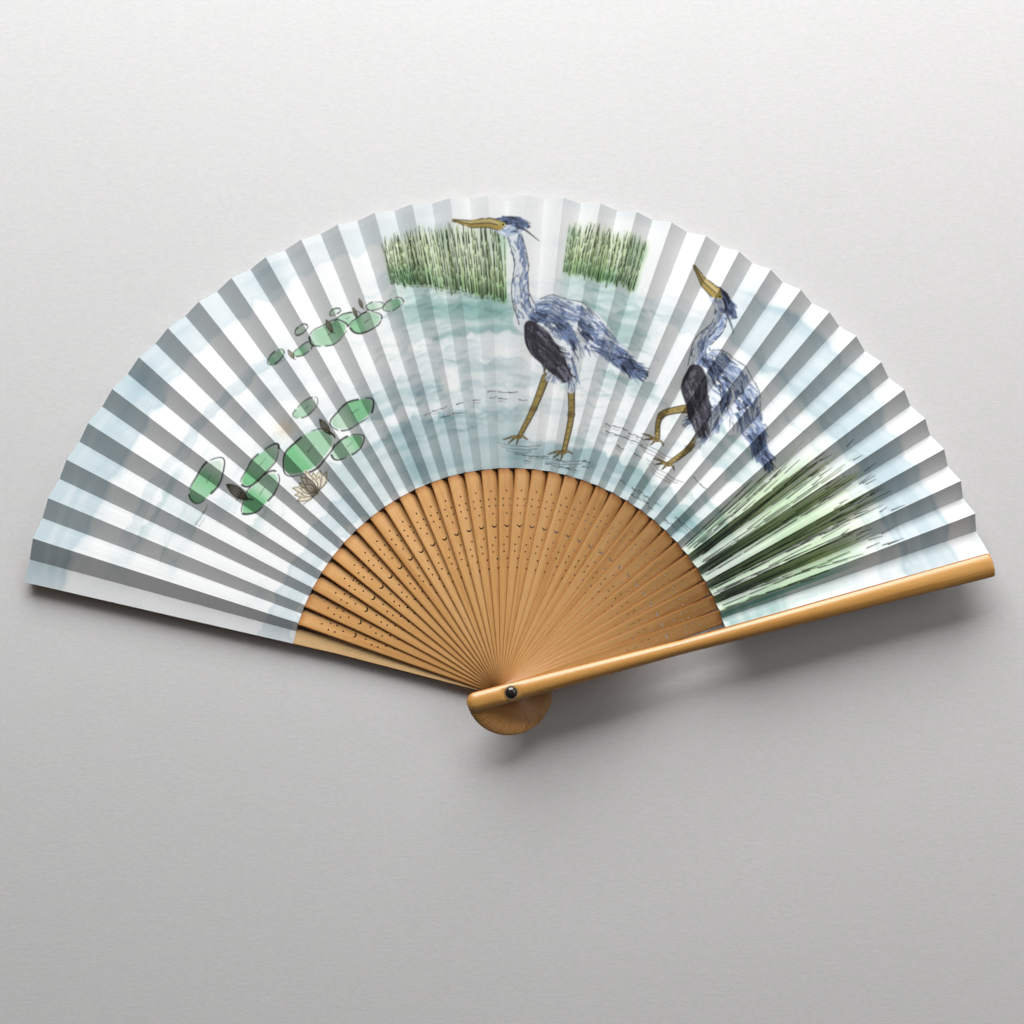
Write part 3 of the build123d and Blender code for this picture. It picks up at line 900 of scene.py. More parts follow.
def smooth_line(points, count=24):
    """A rounded line through points (Catmull-Rom)."""
    p = np.asarray(points, float)
    p = np.vstack([2 * p[0] - p[1], p, 2 * p[-1] - p[-2]])
    result = []
    spans = len(p) - 3
    for k in range(count):
        t = k / (count - 1) * spans
        i = min(int(t), spans - 1)
        t -= i
        a, b, c, d = p[i], p[i + 1], p[i + 2], p[i + 3]
        curve = (2 * a - 5 * b + 4 * c - d) * t**2 + (3 * b - a - 3 * c + d) * t**3
        result.append((2 * b + (c - a) * t + curve) / 2)
    return np.array(result)


def ribbon_edges(spine, widths, count):
    """A ribbon's middle line and width at even steps, with its unit directions to the left and ahead."""
    line = smooth_line(spine, count)
    width = np.interp(np.linspace(0, 1, count), np.linspace(0, 1, len(widths)), widths)
    ahead = np.gradient(line, axis=0)
    ahead = ahead / np.maximum(np.hypot(ahead[:, 0], ahead[:, 1]), 1e-6)[:, None]
    return line, width, np.stack([-ahead[:, 1], ahead[:, 0]], 1), ahead


class Figure:
    """A figure on the leaf, drawn upright in millimetres from its own middle and set down at an angle."""

    def __init__(self, art, origin, lean):
        self.art = art
        self.origin = np.asarray(origin, float)
        turn = math.radians(lean)
        self.right = np.array([math.cos(turn), math.sin(turn)])
        self.up = np.array([-math.sin(turn), math.cos(turn)])

    def place(self, points):
        points = np.asarray(points, float).reshape(-1, 2)
        return self.origin + points[:, :1] * self.right + points[:, 1:] * self.up

    def stroke(self, points, width, colour, strength, taper=EVEN, soft=0.25):
        self.art.stroke(self.place(points), width, colour, strength, taper, soft)

    def pen(self, points, width, strength, taper=(1.1, 0.6)):
        self.art.pen(self.place(points), width, strength, taper)

    def ribbon(self, spine, widths, colour, strength, count=30):
        """A filled shape of changing width along a spine."""
        line, width = ribbon_edges(spine, widths, count)[:2]
        for k in range(count - 1):
            self.stroke(line[k:k + 2], (width[k] + width[k + 1]) / 2, colour, strength, soft=0.4)

    def outline(self, spine, widths, sides=(1, -1), count=24):
        """A broken pen line down each side of a ribbon."""
        line, width, left = ribbon_edges(spine, widths, count)[:3]
        for side in sides:
            edge = line + left * (width * side / 2)[:, None]
            for k in range(0, count - 1, 2):
                if self.art.random.random() < 0.85:
                    self.pen(edge[k:k + 3], 0.5, 0.85)

    def feathers(self, spine, widths, count, length, colours, pen_share, turn=0.0, steps=40):
        """Short overlapping brush marks inside a ribbon, laid along it and swept a little to one side."""
        random = self.art.random
        line, width, left, ahead = ribbon_edges(spine, widths, steps)
        last = steps - 1
        for _ in range(count):
            k = random.integers(0, last)
            across = random.random() - 0.5
            start = line[k] + left[k] * width[k] * across * 0.96
            sweep = ahead[k] + left[k] * (turn + random.normal(0, 0.22))
            reach = length * (0.5 + 0.7 * random.random()) * min(1.0, 0.35 + (last - k) / 12)
            mark = [start, start + sweep * reach / 2, start + (sweep + left[k] * turn * 0.5) * reach]
            colour = colours[random.integers(0, len(colours))]
            self.stroke(mark, 0.95, colour, 0.8, (1.1, 0.4))
            if random.random() < pen_share:
                self.pen(mark, 0.42, 0.75, (1.1, 0.5))


BLUE_GREY = (0.20, 0.27, 0.46)
PALE_BLUE = (0.56, 0.64, 0.79)
DARK_BLUE = (0.035, 0.042, 0.08)
WHITE_BODY = (0.88, 0.91, 0.95)
WING = (0.045, 0.04, 0.055)
WING_LIGHT = (0.20, 0.19, 0.24)
OCHRE = (0.44, 0.32, 0.09)
PALE_OCHRE = (0.62, 0.50, 0.22)
DARK_OCHRE = (0.13, 0.09, 0.03)
EYE_YELLOW = (0.78, 0.60, 0.14)


def wading_leg(bird, joints):
    """A long leg, its toes, and the rings it makes on the water. joints are hip, knee and foot."""
    line = smooth_line(joints, 14)
    bird.stroke(line, 2.7, DARK_OCHRE, 0.95, (1.5, 0.8))
    bird.stroke(line - [0.15, 0], 1.5, OCHRE, 0.9, (1.6, 0.7))
    for k in range(1, 14):
        side = 0.8 if k % 2 else 0.4
        bird.pen([line[k] - [side, 0.1], line[k] + [side * 0.6, 0.25]], 0.42, 0.6, EVEN)
    knee = line[7]
    bird.stroke([knee - [0.3, 0], knee + [0.3, 0.2]], 3.0, DARK_OCHRE, 0.6)
    foot = np.asarray(joints[-1], float)
    for toe in ((-6.5, -1.6), (-4.4, -3.0), (-1.0, -3.2), (3.4, -0.8)):
        middle = foot + np.array(toe) * 0.5 + [0, 0.5]
        bird.stroke([foot, middle, foot + toe], 1.25, DARK_OCHRE, 0.95, (1.1, 0.5))
        bird.stroke([foot, middle], 0.5, OCHRE, 0.8)
    for reach, drop in ((7.5, -4.6), (5.0, -6.0), (9.0, -3.2)):
        arc = [(-1, 0), (-0.3, -0.8), (0.5, -0.7), (1, 0)]
        bird.pen([foot + [reach * x, drop + sag] for x, sag in arc], 0.45, 0.6, (0.6, 1.0))


def heron(bird, head, bill_tip, neck, legs):
    """A plain grey heron: long bill, curved pale neck with dark flecks, blue-grey back, dark folded wing."""
    for joints in legs:
        wading_leg(bird, joints)
    for thigh in ([(-2, -4), (0, -13), (-2.5, -20)], [(3, -4), (6, -14), (6.5, -24)]):
        bird.ribbon(thigh, [12, 7, 3], WHITE_BODY, 0.95)
        bird.feathers(thigh, [12, 7, 3], 90, 4, (WHITE_BODY, PALE_BLUE, BLUE_GREY), 0.35)
    body = [(-14, 4), (-5, 4.5), (7, 2), (19, -5), (29, -11)]
    widths = [10, 21, 21, 12, 3]
    bird.ribbon(body, widths, WHITE_BODY, 0.97)
    bird.outline(body, widths, (1,))
    bird.feathers(body, widths, 210, 4.5, (WHITE_BODY, WHITE_BODY, PALE_BLUE, BLUE_GREY), 0.30, -0.2)
    widths = [10.5, 7.2, 5.6, 5.4]
    bird.ribbon(neck, widths, WHITE_BODY, 0.97)
    bird.feathers(neck, widths, 130, 3.0, (PALE_BLUE, WHITE_BODY, WHITE_BODY, BLUE_GREY), 0.30)
    nape = np.asarray(neck, float) + [1.3, 0]
    bird.feathers(nape, [5, 3.0, 2.4, 2.6], 80, 3.0, (BLUE_GREY, BLUE_GREY, PALE_BLUE), 0.3)
    bird.outline(neck, widths)
    back = [(-10, 10), (-2, 10.5), (9, 7), (20, -1), (31, -11)]
    bird.feathers(back, [5, 7, 7, 6, 2], 190, 5.0, (BLUE_GREY, BLUE_GREY, PALE_BLUE, PALE_BLUE), 0.38, -0.12)
    wing = [(-11.5, 1), (-8, -5), (-1.5, -12), (4.5, -20)]
    widths = [6, 11, 10, 2]
    bird.ribbon(wing, widths, WING, 0.95)
    bird.feathers(wing, widths, 170, 6, (WING, WING, WING_LIGHT), 0.8, 0.1)
    bar = [(-12, 6), (-5, 5), (3, 1), (7, -7)]
    bird.feathers(bar, [5, 6, 5, 2], 110, 4.5, (BLUE_GREY, BLUE_GREY, DARK_BLUE), 0.4)
    rump = [(8, 4), (13, 0), (18, -4)]
    bird.feathers(rump, [5, 6, 4], 50, 4.0, (BLUE_GREY, DARK_BLUE, BLUE_GREY), 0.4)
    tail = [(14, -2), (22, -6.5), (29, -11.5), (36, -16)]
    bird.feathers(tail, [7, 9, 6.5, 2], 150, 5, (BLUE_GREY, BLUE_GREY, PALE_BLUE, WHITE_BODY), 0.4)
    tips = [(23, -7), (29, -11.5), (36, -16)]
    bird.feathers(tips, [7, 7, 2.5], 120, 5, (BLUE_GREY, DARK_BLUE, BLUE_GREY), 0.6)
    heron_head(bird, np.asarray(head, float), np.asarray(bill_tip, float))


def heron_head(bird, head, bill_tip):
    """The head: a dark crown and a short crest, a pale face, an eye, and the long bill with its gape line."""
    toward = (bill_tip - head) / np.hypot(*(bill_tip - head))
    over = np.array([toward[1], -toward[0]])
    if over[1] < 0:
        over = -over

    def beside(ahead, up=0.0):
        return head + toward * ahead + over * up

    face = [beside(-5.0), head, beside(5.0)]
    bird.ribbon(face, [5.4, 8.2, 4.6], PALE_BLUE, 0.97)
    bird.feathers(face, [5.4, 8.0, 4.0], 50, 2.2, (PALE_BLUE, WHITE_BODY, BLUE_GREY), 0.3)
    crown = [beside(4.6, 1.6), beside(0, 2.8), beside(-4.5, 1.8), beside(-9)]
    bird.ribbon(crown, [1.4, 3.4, 3.6, 1.0], DARK_BLUE, 0.95)
    bird.feathers(crown, [1.6, 3.8, 3.8, 1.2], 50, 3.0, (DARK_BLUE, BLUE_GREY), 0.6)
    crest = smooth_line([beside(-4), beside(-9, -2.4), beside(-14, -5)], 8)
    bird.stroke(crest, 1.0, DARK_BLUE, 0.9, (1.3, 0.4))
    root = beside(3.8)
    bill = np.array([root, (root + bill_tip) / 2 + over * 0.3, bill_tip])
    bird.ribbon(bill, [4.6, 3.4, 1.0], OCHRE, 0.98)
    bird.ribbon(bill + over * 0.7, [1.6, 1.2, 0.4], PALE_OCHRE, 0.85)
    bird.pen(bill, 0.5, 0.85, EVEN)
    bird.outline(bill, [4.6, 3.4, 1.0])
    eye = [beside(1.6, 0.7), beside(1.6, 0.7) + [0.05, 0]]
    bird.stroke(eye, 2.0, EYE_YELLOW, 0.95)
    bird.pen(eye, 1.1, 1.0, EVEN)


def paint_herons(art):
    heron(
        Figure(art, (21.0, 149.0), -4), head=(-24.5, 43.0), bill_tip=(-47.0, 43.0),
        neck=[(-12, 4), (-17.0, 15), (-17.5, 28), (-21.5, 40.5)],
        legs=[[(5, -12), (7.5, -33), (5.5, -50)], [(-2, -12), (-8, -32), (-13.5, -45)]],
    )
    heron(
        Figure(art, (87.0, 125.0), -34), head=(-19.0, 31.5), bill_tip=(-36.5, 37.0),
        neck=[(-11, 4), (-15.5, 12), (-14.0, 22), (-17.0, 29.5)],
        legs=[[(4, -12), (4, -27), (0.5, -38.0)], [(-3, -12), (-13, -22), (-9.0, -32)]],
    )


def make_painting():
    art = Painting()
    paint_water(art)
    paint_lilies(art)
    paint_reeds(art)
    paint_ripples(art)
    paint_herons(art)
    return art


# ---------------------------------------------------------------- the leaf
ALONG, ACROSS = ((300, 22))


def paint_on(mesh, art):
    co = np.zeros(len(mesh.vertices) * 3, np.float32)
    mesh.vertices.foreach_get("co", co)
    co = co.reshape(-1, 3).astype(float)
    set_colour_attribute(mesh, "paint", art.read(co[:, 0], co[:, 1]))


def ruled(first, second, along, across, cut=(0.0, 1.0)):
    """Grid of points on the surface between two folds. cut is the part of its width that a strip spans."""
    r = np.linspace(0, 1, along)
    a, b = first.along(r), second.along(r)
    s = np.linspace(cut[0], cut[1], across)[None, :, None]
    return a[:, None, :] * (1 - s) + b[:, None, :] * s


def grid_border(rows, columns):
    """The indices round a grid's border, in order."""
    last = rows - 1
    first_row = list(range(columns))
    right = [row * columns + columns - 1 for row in range(1, rows)]
    last_row = [last * columns + column for column in range(columns - 2, -1, -1)]
    left = [row * columns for row in range(rows - 2, 0, -1)]
    return first_row + right + last_row + left


def glued_panel(name, first, second, art, paper, back, relief):
    """A panel that holds a rib's blade: closed, with both plies raised a little over the blade."""
    front = ruled(first, second, ALONG, ACROSS)
    normal = unit(np.cross(second.inner - first.inner, first.outer - first.inner))
    if normal[2] < 0:
        normal = -normal
    across = np.linspace(0, 1, ACROSS)
    reach = np.linspace(0, 1, ALONG)[:, None] * (LEAF_OUTER - LEAF_INNER)
    width = np.linalg.norm(front[:, -1] - front[:, 0], axis=1)[:, None] / MM
    from_middle = np.abs(across[None, :] - 0.5) * width
    swell = 1 - fade(from_middle, BLADE_WIDTH / 2 - 0.35, BLADE_WIDTH / 2 + 0.55)
    blade_reach = BLADE_END - LEAF_INNER
    swell = swell * (1 - fade(reach, blade_reach - 1, blade_reach + 1.5)) * relief
    edge = np.minimum(1, np.minimum(across, 1 - across) * 8)[None, :]
    core = 2 * PAPER_LIFT - PAPER_THICKNESS
    top = front + normal * (swell * edge * MM)[..., None]
    bottom = front - normal * ((PAPER_THICKNESS + (core * edge + swell * edge)) * MM)[..., None]
    count = ALONG * ACROSS
    vertices = np.concatenate([top.reshape(-1, 3), bottom.reshape(-1, 3)])
    faces = grid_faces(ALONG, ACROSS) + grid_faces(ALONG, ACROSS, count, True)
    front_faces = len(faces) // 2
    border = grid_border(ALONG, ACROSS)
    for a, b in zip(border, border[1:] + border[:1]):
        faces.append((a, a + count, b + count, b))
    piece = new_object(name, vertices, faces, 35)
    finish_panel(piece, art, paper, back, front_faces)
    return piece


def finish_panel(piece, art, paper, back, front_faces):
    mesh = piece.data
    mesh.materials.append(paper)
    mesh.materials.append(back)
    index = np.ones(len(mesh.polygons), np.int32)
    index[:front_faces] = 0
    mesh.polygons.foreach_set("material_index", index)
    paint_on(mesh, art)


def free_panel(name, first, second, art, paper, back, cut):
    """A panel with no blade, or a strip of one, exactly between its two folds."""
    across = 1 + math.ceil((ACROSS - 1) * (cut[1] - cut[0]))
    grid = ruled(first, second, ALONG, across, cut)
    piece = new_object(name, grid.reshape(-1, 3), grid_faces(ALONG, across), 60)
    finish_panel(piece, art, paper, back, len(piece.data.polygons))
    sharpen_border(piece.data)
    skin = piece.modifiers.new("paper", "SOLIDIFY")
    skin.thickness = PAPER_THICKNESS * MM
    skin.offset = -1
    skin.material_offset = 1
    skin.material_offset_rim = 1
    return piece


def sharpen_border(mesh):
    """Marks a sheet's border sharp, so that its shading does not run on to the paper's cut edge."""
    edges = np.empty(len(mesh.loops), np.int32)
    mesh.loops.foreach_get("edge_index", edges)
    border = np.bincount(edges, minlength=len(mesh.edges)) == 1
    sharp = mesh.attributes.get("sharp_edge") or mesh.attributes.new("sharp_edge", "BOOLEAN", "EDGE")
    sharp.data.foreach_set("value", border)


def follow_both(piece, first, second):
    """Bakes a free panel's placement into its mesh.

    Two folds that miss each other lie in two parallel planes. Their normal and the gap between them are
    worked out here, but nothing uses them.
    """
    normal = unit(np.cross(first.direction(), second.direction()))
    gap = float(np.dot(second.start - first.start, normal))
    if gap < 0:
        normal, gap = -normal, -gap
    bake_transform(piece)


STRIPS_NEAR_GUARD = (6, 2, 2)  # for the panel beside a guard and the next two


def strips(index):
    """How many strips a free panel is made in: more for the panels near a guard."""
    from_guard = min(index, RIB_COUNT - index)
    return STRIPS_NEAR_GUARD[from_guard] if from_guard < len(STRIPS_NEAR_GUARD) else 1


def make_leaf(art):
    paper = paper_material("leaf_paper_painted", True)
    back = paper_material("leaf_paper_back", False)
    front_end = RIB_COUNT + 1
    folds = {0: (rear_line(1), rear_line(-1)), front_end: (front_line(1), front_line(-1))}
    bodies = {0: "rear_guard", front_end: "front_guard"}
    for index in range(1, front_end):
        folds[index] = (mountain(index), valley(index))
        bodies[index] = rib_name(index)
    for index, (first, second) in folds.items():
        relief = 0.0 if index in (0, front_end) else PLY_RELIEF
        piece = glued_panel(f"leaf_glued_{index:02d}", first, second, art, paper, back, relief)
        body = bodies[index]
        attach(piece, body)
    for index in range(front_end):
        first, second = folds[index][1], folds[index + 1][0]
        count = strips(index)
        for k in range(count):
            name = f"leaf_free_{index:02d}" + (f"_{k + 1}" if count > 1 else "")
            cut = (k / count, (k + 1) / count)
            piece = free_panel(name, first, second, art, paper, back, cut)
            follow_both(piece, first, second)
    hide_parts("leaf_rear_end")
    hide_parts("leaf_front_end")
    for number in range(1, RIB_COUNT // 2 + 1):
        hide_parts(f"leaf_section_{number:02d}")


# ---------------------------------------------------------------- pierced and crowned strips: ribs and guards
def circle_points(x, y, radius, count=14):
    turns = np.arange(count) * 2 * math.pi / count
    return [(x + radius * math.cos(t), y + radius * math.sin(t)) for t in turns]


def crescent_points(x, outer=1.1, inner=0.95, shift=0.55, count=10):
    """A thin moon whose horns point outwards along the rib."""
    cross = (outer**2 - inner**2 + shift**2) / (2 * shift)
    height = math.sqrt(outer**2 - cross**2)
    outer_horn = math.atan2(height, cross)
    inner_horn = math.atan2(height, cross - shift)
    outer_turns = np.linspace(outer_horn, 2 * math.pi - outer_horn, count)
    inner_turns = np.linspace(2 * math.pi - inner_horn, inner_horn, count)[1:-1]
    big = [(x + outer * math.cos(t), outer * math.sin(t)) for t in outer_turns]
    return big + [(x + shift + inner * math.cos(t), inner * math.sin(t)) for t in inner_turns]


def inside_loop(points, loop):
    """Which points are inside a closed loop (crossing count)."""
    x, y = points[:, 0], points[:, 1]
    result = np.zeros(len(points), bool)
    for (ax, ay), (bx, by) in zip(loop, loop[1:] + loop[:1]):
        if ay == by:
            continue
        hit = (ay > y) != (by > y)
        result ^= hit & (x < (bx - ax) * (y - ay) / (by - ay) + ax)
    return result


def triangulated(outline, holes, guides):
    """Triangles over a flat outline with holes, with extra edges along the guide lines."""
    points, edges = [], []
    for loop in [outline] + holes:
        first = len(points)
        points += loop
        edges += [(first + k, first + (k + 1) % len(loop)) for k in range(len(loop))]
    for guide in guides:
        first = len(points)
        points += guide
        edges += [(first + k, first + k + 1) for k in range(len(guide) - 1)]
    result = delaunay_2d_cdt([Vector(p) for p in points], edges, [], 0, 1e-5)
    places, triangles = np.array([tuple(v) for v in result[0]]), result[2]
    centres = np.array([places[list(t)].mean(0) for t in triangles])
    keep = inside_loop(centres, outline)
    for hole in holes:
        keep &= ~inside_loop(centres, hole)
    return places, [t for t, k in zip(triangles, keep) if k]


def closed_strip(name, plan, top, bottom, half_width, grain_number):
    """A solid from a flat plan: its two faces are functions of the plan's points, joined at the rims."""
    places, triangles = plan
    upper, lower = top(places), bottom(places)
    count = len(places)
    faces, sides = [], {}  # sides is a dict, because it keeps their order
    for a, b, c in triangles:
        pa, pb, pc = places[a], places[b], places[c]
        if (pb[0] - pa[0]) * (pc[1] - pa[1]) - (pb[1] - pa[1]) * (pc[0] - pa[0]) < 0:
            b, c = c, b
        faces.append((a, b, c))
        faces.append((a + count, c + count, b + count))
        sides.update(dict.fromkeys(((a, b), (b, c), (c, a))))
    faces += [(b, a, a + count, b + count) for a, b in sides if (b, a) not in sides]
    used = sorted({i for f in faces for i in f})
    remap = {old: new for new, old in enumerate(used)}
    vertices = np.concatenate([upper, lower])[used]
    piece = new_object(name, vertices, [tuple(remap[i] for i in f) for f in faces], 32)
    grain = np.concatenate([places, places])[used]
    number = np.full((len(grain), 1), grain_number * 1.0)
    set_vector_attribute(piece.data, "grain", np.concatenate([grain * MM, number], 1))
    # painted shade: how far in from a stick's edge its colour is darkened, broader towards the leaf where
    # gaps open between ribs
    edge_shade_width = 0.8 + 0.5 * fade(grain[:, 0], EDGE_SHADE_START, EDGE_SHADE_END)
    from_edge = np.maximum(half_width(grain[:, 0]) - np.abs(grain[:, 1]), 0) / edge_shade_width
    set_vector_attribute(piece.data, "rim", np.repeat(from_edge[:, None], 3, 1))
    return piece


DOT_RADIUS = 0.37
DOT_PLACES = [(x, 0) for x in (82.7, 73.3, 63.4, 54.5, 50.7)]
DOT_PLACES += [(x, side * 1.44) for x in (79.3, 76.5, 60.3, 57.5) for side in (-1, 1)]
CRESCENT_PLACE = 68.5


def head_share(x, radius):
    """The share of its full width that a stick with a round head of this radius has at x."""
    past = np.clip(radius - HEAD_REACH - x, 0, radius)
    return np.sqrt(np.maximum(1 - (past / radius) ** 2, 0))


def rib_half_width(x):
    """Half the rib's width on its own face, from its round head to the end of its blade."""
    x = np.asarray(x, float)
    half = np.interp(x, [TWIST_START, SHOULDER_START], [RIB_HALF_WIDTH, SLAT_HALF])
    shoulder = fade(x, SHOULDER_START, SHOULDER_END)
    half = half + (BLADE_WIDTH / 2 - half) * shoulder
    return half * head_share(x, RIB_HALF_WIDTH)


def mirrored_outline(stations, half):
    """A closed outline from half widths at stations along a stick, from its round head to its other end."""
    left = [(float(x), float(h)) for x, h in zip(stations, half) if h > 1e-6]
    return [(-HEAD_REACH, 0.0)] + left + [(x, -h) for x, h in left[::-1]]


def rib_plan():
    """The rib's flat plan: outline, holes, and guide lines where its edges start to round."""
    head = -HEAD_REACH + RIB_HALF_WIDTH * (1 - np.cos(np.linspace(0, math.pi / 2, 11)))
    body = np.linspace(-HEAD_REACH + RIB_HALF_WIDTH, NECK_START, 44)[1:]
    neck = np.linspace(NECK_START, SHOULDER_START, 5)[1:]
    shoulder = np.linspace(SHOULDER_START, SHOULDER_END, 6)[1:]
    blade = np.linspace(SHOULDER_END, BLADE_END, 18)[1:]
    stations = np.concatenate([head, body, neck, shoulder, blade])
    half = rib_half_width(stations)
    holes = [circle_points(0, 0, PIN_RADIUS + PIN_CLEARANCE, 28), crescent_points(CRESCENT_PLACE)]
    holes += [circle_points(x, y, DOT_RADIUS) for x, y in DOT_PLACES]
    slat = [(float(x), float(h)) for x, h in zip(stations, half) if h > 1.6 and x < SHOULDER_START]
    guides = [[(x, side * (h - inset)) for x, h in slat] for inset in EDGE_STEPS for side in (-1, 1)]
    return triangulated(mirrored_outline(stations, half), holes, guides)


def rib_surface(index, side):
    """Maps the flat plan to the twisted rib. side is 1 for its upper face and -1 for its lower face."""
    tilt = panel_tilt(index)
    middle_end = panel_middle(SLAT_END, index)

    def place(points):
        x, v = points[:, 0], points[:, 1]
        share = np.clip((x - TWIST_START) / (SLAT_END - TWIST_START), 0, 1)
        neck = fade(x, NECK_START, SHOULDER_END)
        past = fade(x, SHOULDER_START, SHOULDER_END)
        slope = tilt * (share * SLAT_TILT_SHARE * (1 - neck) + neck)
        turn = np.arctan(slope)
        middle = np.where(x > SLAT_END, panel_middle(x, index), middle_end * share)
        centre = (SLAT_LEFT + SLAT_RIGHT) / 2 * share * (1 - past) + past * middle
        thickness = np.interp(
            x, [TWIST_START, SLAT_END, LEAF_INNER - 0.2], [RIB_THICKNESS, SLAT_END_THICKNESS, BLADE_THICKNESS]
        )
        edge = rib_half_width(x) - np.abs(v)
        rounding = np.clip(1 - edge / EDGE_ROUND, 0, 1) ** 2 * (1 - past)
        drop = rounding * thickness / 2 * (1.35 if side > 0 else 0.4)
        off = side * (thickness / 2 - drop)
        y = centre + v * np.cos(turn) - off * np.sin(turn)
        z = (centre - middle) * slope + v * np.sin(turn) + off * np.cos(turn)
        return turned(np.stack([x, y, z], 1), rib_azimuth(index), rib_height(index))

    return place


RIB_TONES = ((0.46, 0.20, 0.055), (0.68, 0.365, 0.13), (0.78, 0.46, 0.20))
GUARD_TONES = ((0.33, 0.13, 0.025), (0.62, 0.31, 0.08), (0.76, 0.44, 0.14))
INNER_TONES = ((0.62, 0.37, 0.16), (0.80, 0.53, 0.26), (0.86, 0.62, 0.34))


def make_ribs():
    bamboo = bamboo_material("rib_bamboo", RIB_TONES, roughness=0.42, coat=0.12, edge=0.8)
    plan = rib_plan()
    for index in range(1, RIB_COUNT + 1):
        name = rib_name(index)
        upper, lower = rib_surface(index, 1), rib_surface(index, -1)
        piece = closed_strip("bamboo_" + name, plan, upper, lower, rib_half_width, index)
        piece.data.materials.append(bamboo)
        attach(piece, name)
        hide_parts(name)


def guard_half_width(x):
    x = np.asarray(x, float)
    halves = [GUARD_HEAD_HALF, GUARD_WAIST_HALF, GUARD_TIP_HALF]
    half = np.interp(x, [0, GUARD_WAIST_RADIUS, LEAF_OUTER], halves) * head_share(x, GUARD_HEAD_HALF)
    tip = np.clip((x - (LEAF_OUTER - TIP_ROUND)) / TIP_ROUND, 0, 1)
    return half - TIP_ROUND * (1 - np.sqrt(1 - tip**2))


def guard_plan():
    head = -HEAD_REACH + GUARD_HEAD_HALF * (1 - np.cos(np.linspace(0, math.pi / 2, 14)))
    corner = LEAF_OUTER - TIP_ROUND
    body = np.linspace(-HEAD_REACH + GUARD_HEAD_HALF, corner, 130)[1:]
    tip = corner + TIP_ROUND * np.sin(np.linspace(0, math.pi / 2, 7))[1:]
    stations = np.concatenate([head, body, tip])
    half = guard_half_width(stations)
    inside = [(float(x), float(h)) for x, h in zip(stations, half) if 1 - HEAD_REACH < x < LEAF_OUTER - 0.2]
    guides = [
        [(x, side * (h * share)) for x, h in inside]
        for share in (0.97, 0.92, 0.85, 0.75, 0.62, 0.45, 0.25) for side in (-1, 1)
    ]
    guides.append([(x, 0.0) for x, _ in inside if x > PIN_RADIUS + 1])
    tip_line = GUARD_TIP_HALF - 1.6
    for back in (0.25, 0.7, 1.4):
        guides.append([(LEAF_OUTER - back, y) for y in np.linspace(-tip_line, tip_line, 9)])
    pin_hole = circle_points(0, 0, PIN_RADIUS + 0.04, 32)
    return triangulated(mirrored_outline(stations, half), [pin_hole], guides)


def guard_surface(front, crowned):
    """Maps the plan to a guard's flat inner face or its crowned outer face, leaning away from the ribs."""
    inner = FRONT_INNER if front else GUARD_THICKNESS
    azimuth = FRONT_AZIMUTH if front else REAR_AZIMUTH
    out = 1 if front else -1

    def place(points):
        x, v = points[:, 0], points[:, 1]
        depth = np.zeros(len(x))
        if crowned:
            half = np.maximum(guard_half_width(x), 1e-3)
            head_centre = GUARD_HEAD_HALF - HEAD_REACH
            at_head = np.hypot(x - head_centre, v) / GUARD_HEAD_HALF
            share = np.clip(np.where(x < head_centre, at_head, np.abs(v) / half), 0, 1)
            crown = 0.45 * np.sqrt(1 - share**2) + 0.55 * (1 - share**2)
            end = np.clip(LEAF_OUTER - x, 0, 1)
            end_round = 0.4 + 0.6 * np.sqrt(end * (2 - end))
            depth = GUARD_EDGE_DEPTH + (GUARD_THICKNESS - GUARD_EDGE_DEPTH) * crown * end_round
            seat = np.minimum(depth, GUARD_THICKNESS - SEAT_DEPTH)
            depth = np.where(np.hypot(x, v) < SEAT_RADIUS, seat, depth)
        z = inner + out * (depth + SPLAY * x)
        return turned(np.stack([x, v, z], 1), azimuth)

    return place


def make_guards():
    polished = bamboo_material("guard_bamboo", GUARD_TONES, roughness=0.37, coat=0.42, edge=0.85)
    raw = bamboo_material("guard_bamboo_inner", INNER_TONES, roughness=0.5, coat=0.05, edge=0.4)
    plan = guard_plan()
    grain_numbers = {"rear_guard": 90, "front_guard": 91}
    for name, grain_number in grain_numbers.items():
        front = name == "front_guard"
        crowned, flat = guard_surface(front, True), guard_surface(front, False)
        upper, lower = (crowned, flat) if front else (flat, crowned)
        piece = closed_strip("polished_" + name, plan, upper, lower, guard_half_width, grain_number)
        mesh = piece.data
        mesh.materials.append(polished)
        mesh.materials.append(raw)
        for polygon in mesh.polygons:
            outward = polygon.normal.z if front else -polygon.normal.z
            polygon.material_index = int(outward < -0.9)  # the flat inner face is left raw
        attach(piece, name)
        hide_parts(name)


# ---------------------------------------------------------------- pivot
def dress(node, material):
    """Gives a CAD node that is shown as it is its material."""
    materials = frame["nodes"][node].data.materials
    materials.clear()
    materials.append(material)


def make_pivot():
    dress("pivot_pin", resin_material())
    bone = washer_material()
    dress("front_washer", bone)
    dress("rear_washer", bone)


# ---------------------------------------------------------------- studio
def resting_plane():
    """The table under the open fan, which lies on its rear rivet head and two points of its outer edge.

    Of all such planes that nothing sticks through, it takes the one whose two points have the fan's middle
    most nearly between them. Returns the plane's height on the pivot axis, in metres, and its two slopes.
    """
    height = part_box("pivot_pin")[0][2]
    below_fold = np.array([0, 0, (PAPER_LIFT + FLOOR_CLEARANCE) * MM])
    outer = [valley(k).outer - below_fold for k in range(1, RIB_COUNT + 1)]
    tip = turned([(LEAF_OUTER, side * 3, -GUARD_SPLAY) for side in (-1, 1)], REAR_AZIMUTH)
    points = np.array(outer + list(tip))
    best_middle, best_slopes = math.inf, None
    for j, one in enumerate(points):
        for other in points[j + 1:]:
            places = np.array([one[:2], other[:2]])
            if abs(np.linalg.det(places)) < 1e-6:
                continue
            slopes = np.linalg.solve(places, np.array([one[2], other[2]]) - height)
            clear = points[:, 2] - height - points[:, :2] @ slopes
            steady = one[0] * other[0] <= 0 or abs(one[0] - other[0]) < 0.04
            middle = abs((one[0] + other[0]) / 2)
            if clear.min() > -1e-5 and steady and middle < best_middle:
                best_middle, best_slopes = middle, slopes
    return height, best_slopes


FLOOR_REACH = 3.0


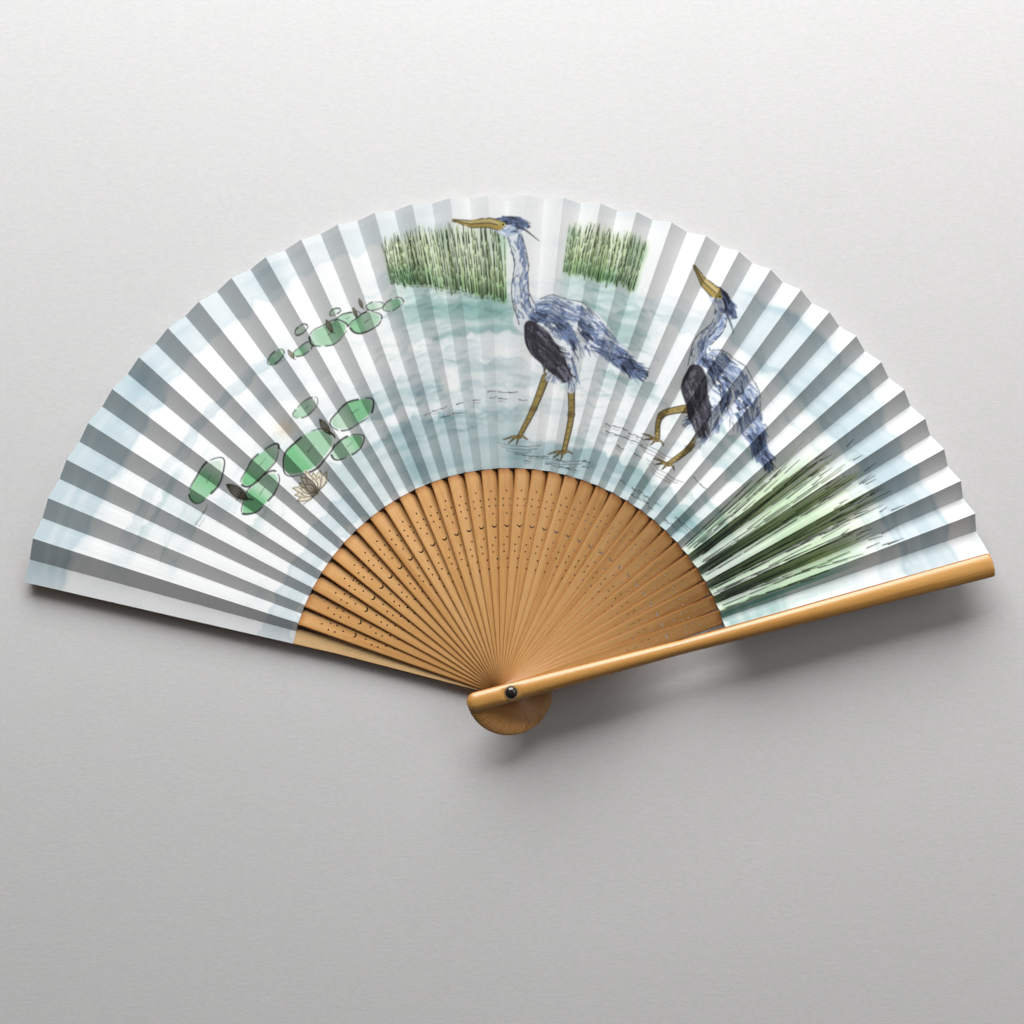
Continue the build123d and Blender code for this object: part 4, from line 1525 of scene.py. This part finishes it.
def make_floor():
    height, slopes = resting_plane()
    corners = [(x * FLOOR_REACH, y * FLOOR_REACH) for x, y in ((-1, -1), (1, -1), (1, 1), (-1, 1))]
    vertices = [(x, y, height + slopes[0] * x + slopes[1] * y) for x, y in corners]
    floor = new_object("studio_floor", vertices, [(0, 1, 2, 3)])
    floor.data.materials.append(floor_material())


LIGHT_TARGET = Vector((0.05, 0.1, 0.01))


def make_light(name, azimuth, elevation, distance, size, power, colour):
    """A soft rectangular light that looks at the fan from an azimuth and elevation, in degrees and metres."""
    data = bpy.data.lights.new(name, "AREA")
    data.shape = "RECTANGLE"
    data.size, data.size_y = size
    data.energy = power
    data.color = colour
    lamp = bpy.data.objects.new(name, data)
    bpy.context.scene.collection.objects.link(lamp)
    a, e = math.radians(azimuth), math.radians(elevation)
    away = Vector((math.cos(e) * math.cos(a), math.cos(e) * math.sin(a), math.sin(e)))
    lamp.location = LIGHT_TARGET + away * distance
    lamp.rotation_euler = (LIGHT_TARGET - lamp.location).to_track_quat("-Z", "Y").to_euler()


def make_studio():
    scene = bpy.context.scene
    scene.view_settings.view_transform = "Standard"
    scene.view_settings.look = "None"
    world = bpy.data.worlds.new("studio")
    world.use_nodes = True
    background = world.node_tree.nodes["Background"].inputs
    background["Color"].default_value = (1.0, 0.965, 0.95, 1)
    background["Strength"].default_value = 0.045
    scene.world = world
    make_light("window", 97, 31, 1.12, (1.15, 0.66), 24.0, (0.99, 0.998, 1.0))
    make_light("fill", 20, 40, 1.2, (0.9, 0.7), 3.2, (1.0, 0.97, 0.94))


def make_camera():
    """Looks almost straight down on the fan, from just over half a metre."""
    data = bpy.data.cameras.new("camera")
    data.sensor_width = 36.0
    data.lens = 45.5
    data.clip_start = 0.01
    camera = bpy.data.objects.new("camera", data)
    bpy.context.scene.collection.objects.link(camera)
    tip_up, tip_side, roll = 0.0385, -0.0499, -0.0031
    place = Matrix.Translation((-0.0257, 0.0531, 0.5460))
    turn = Matrix.Rotation(roll, 4, "Z") @ Matrix.Rotation(tip_up, 4, "X") @ Matrix.Rotation(tip_side, 4, "Y")
    camera.matrix_world = place @ turn
    bpy.context.scene.camera = camera


make_camera()
make_floor()
make_studio()
make_leaf(make_painting())
make_ribs()
make_guards()
make_pivot()
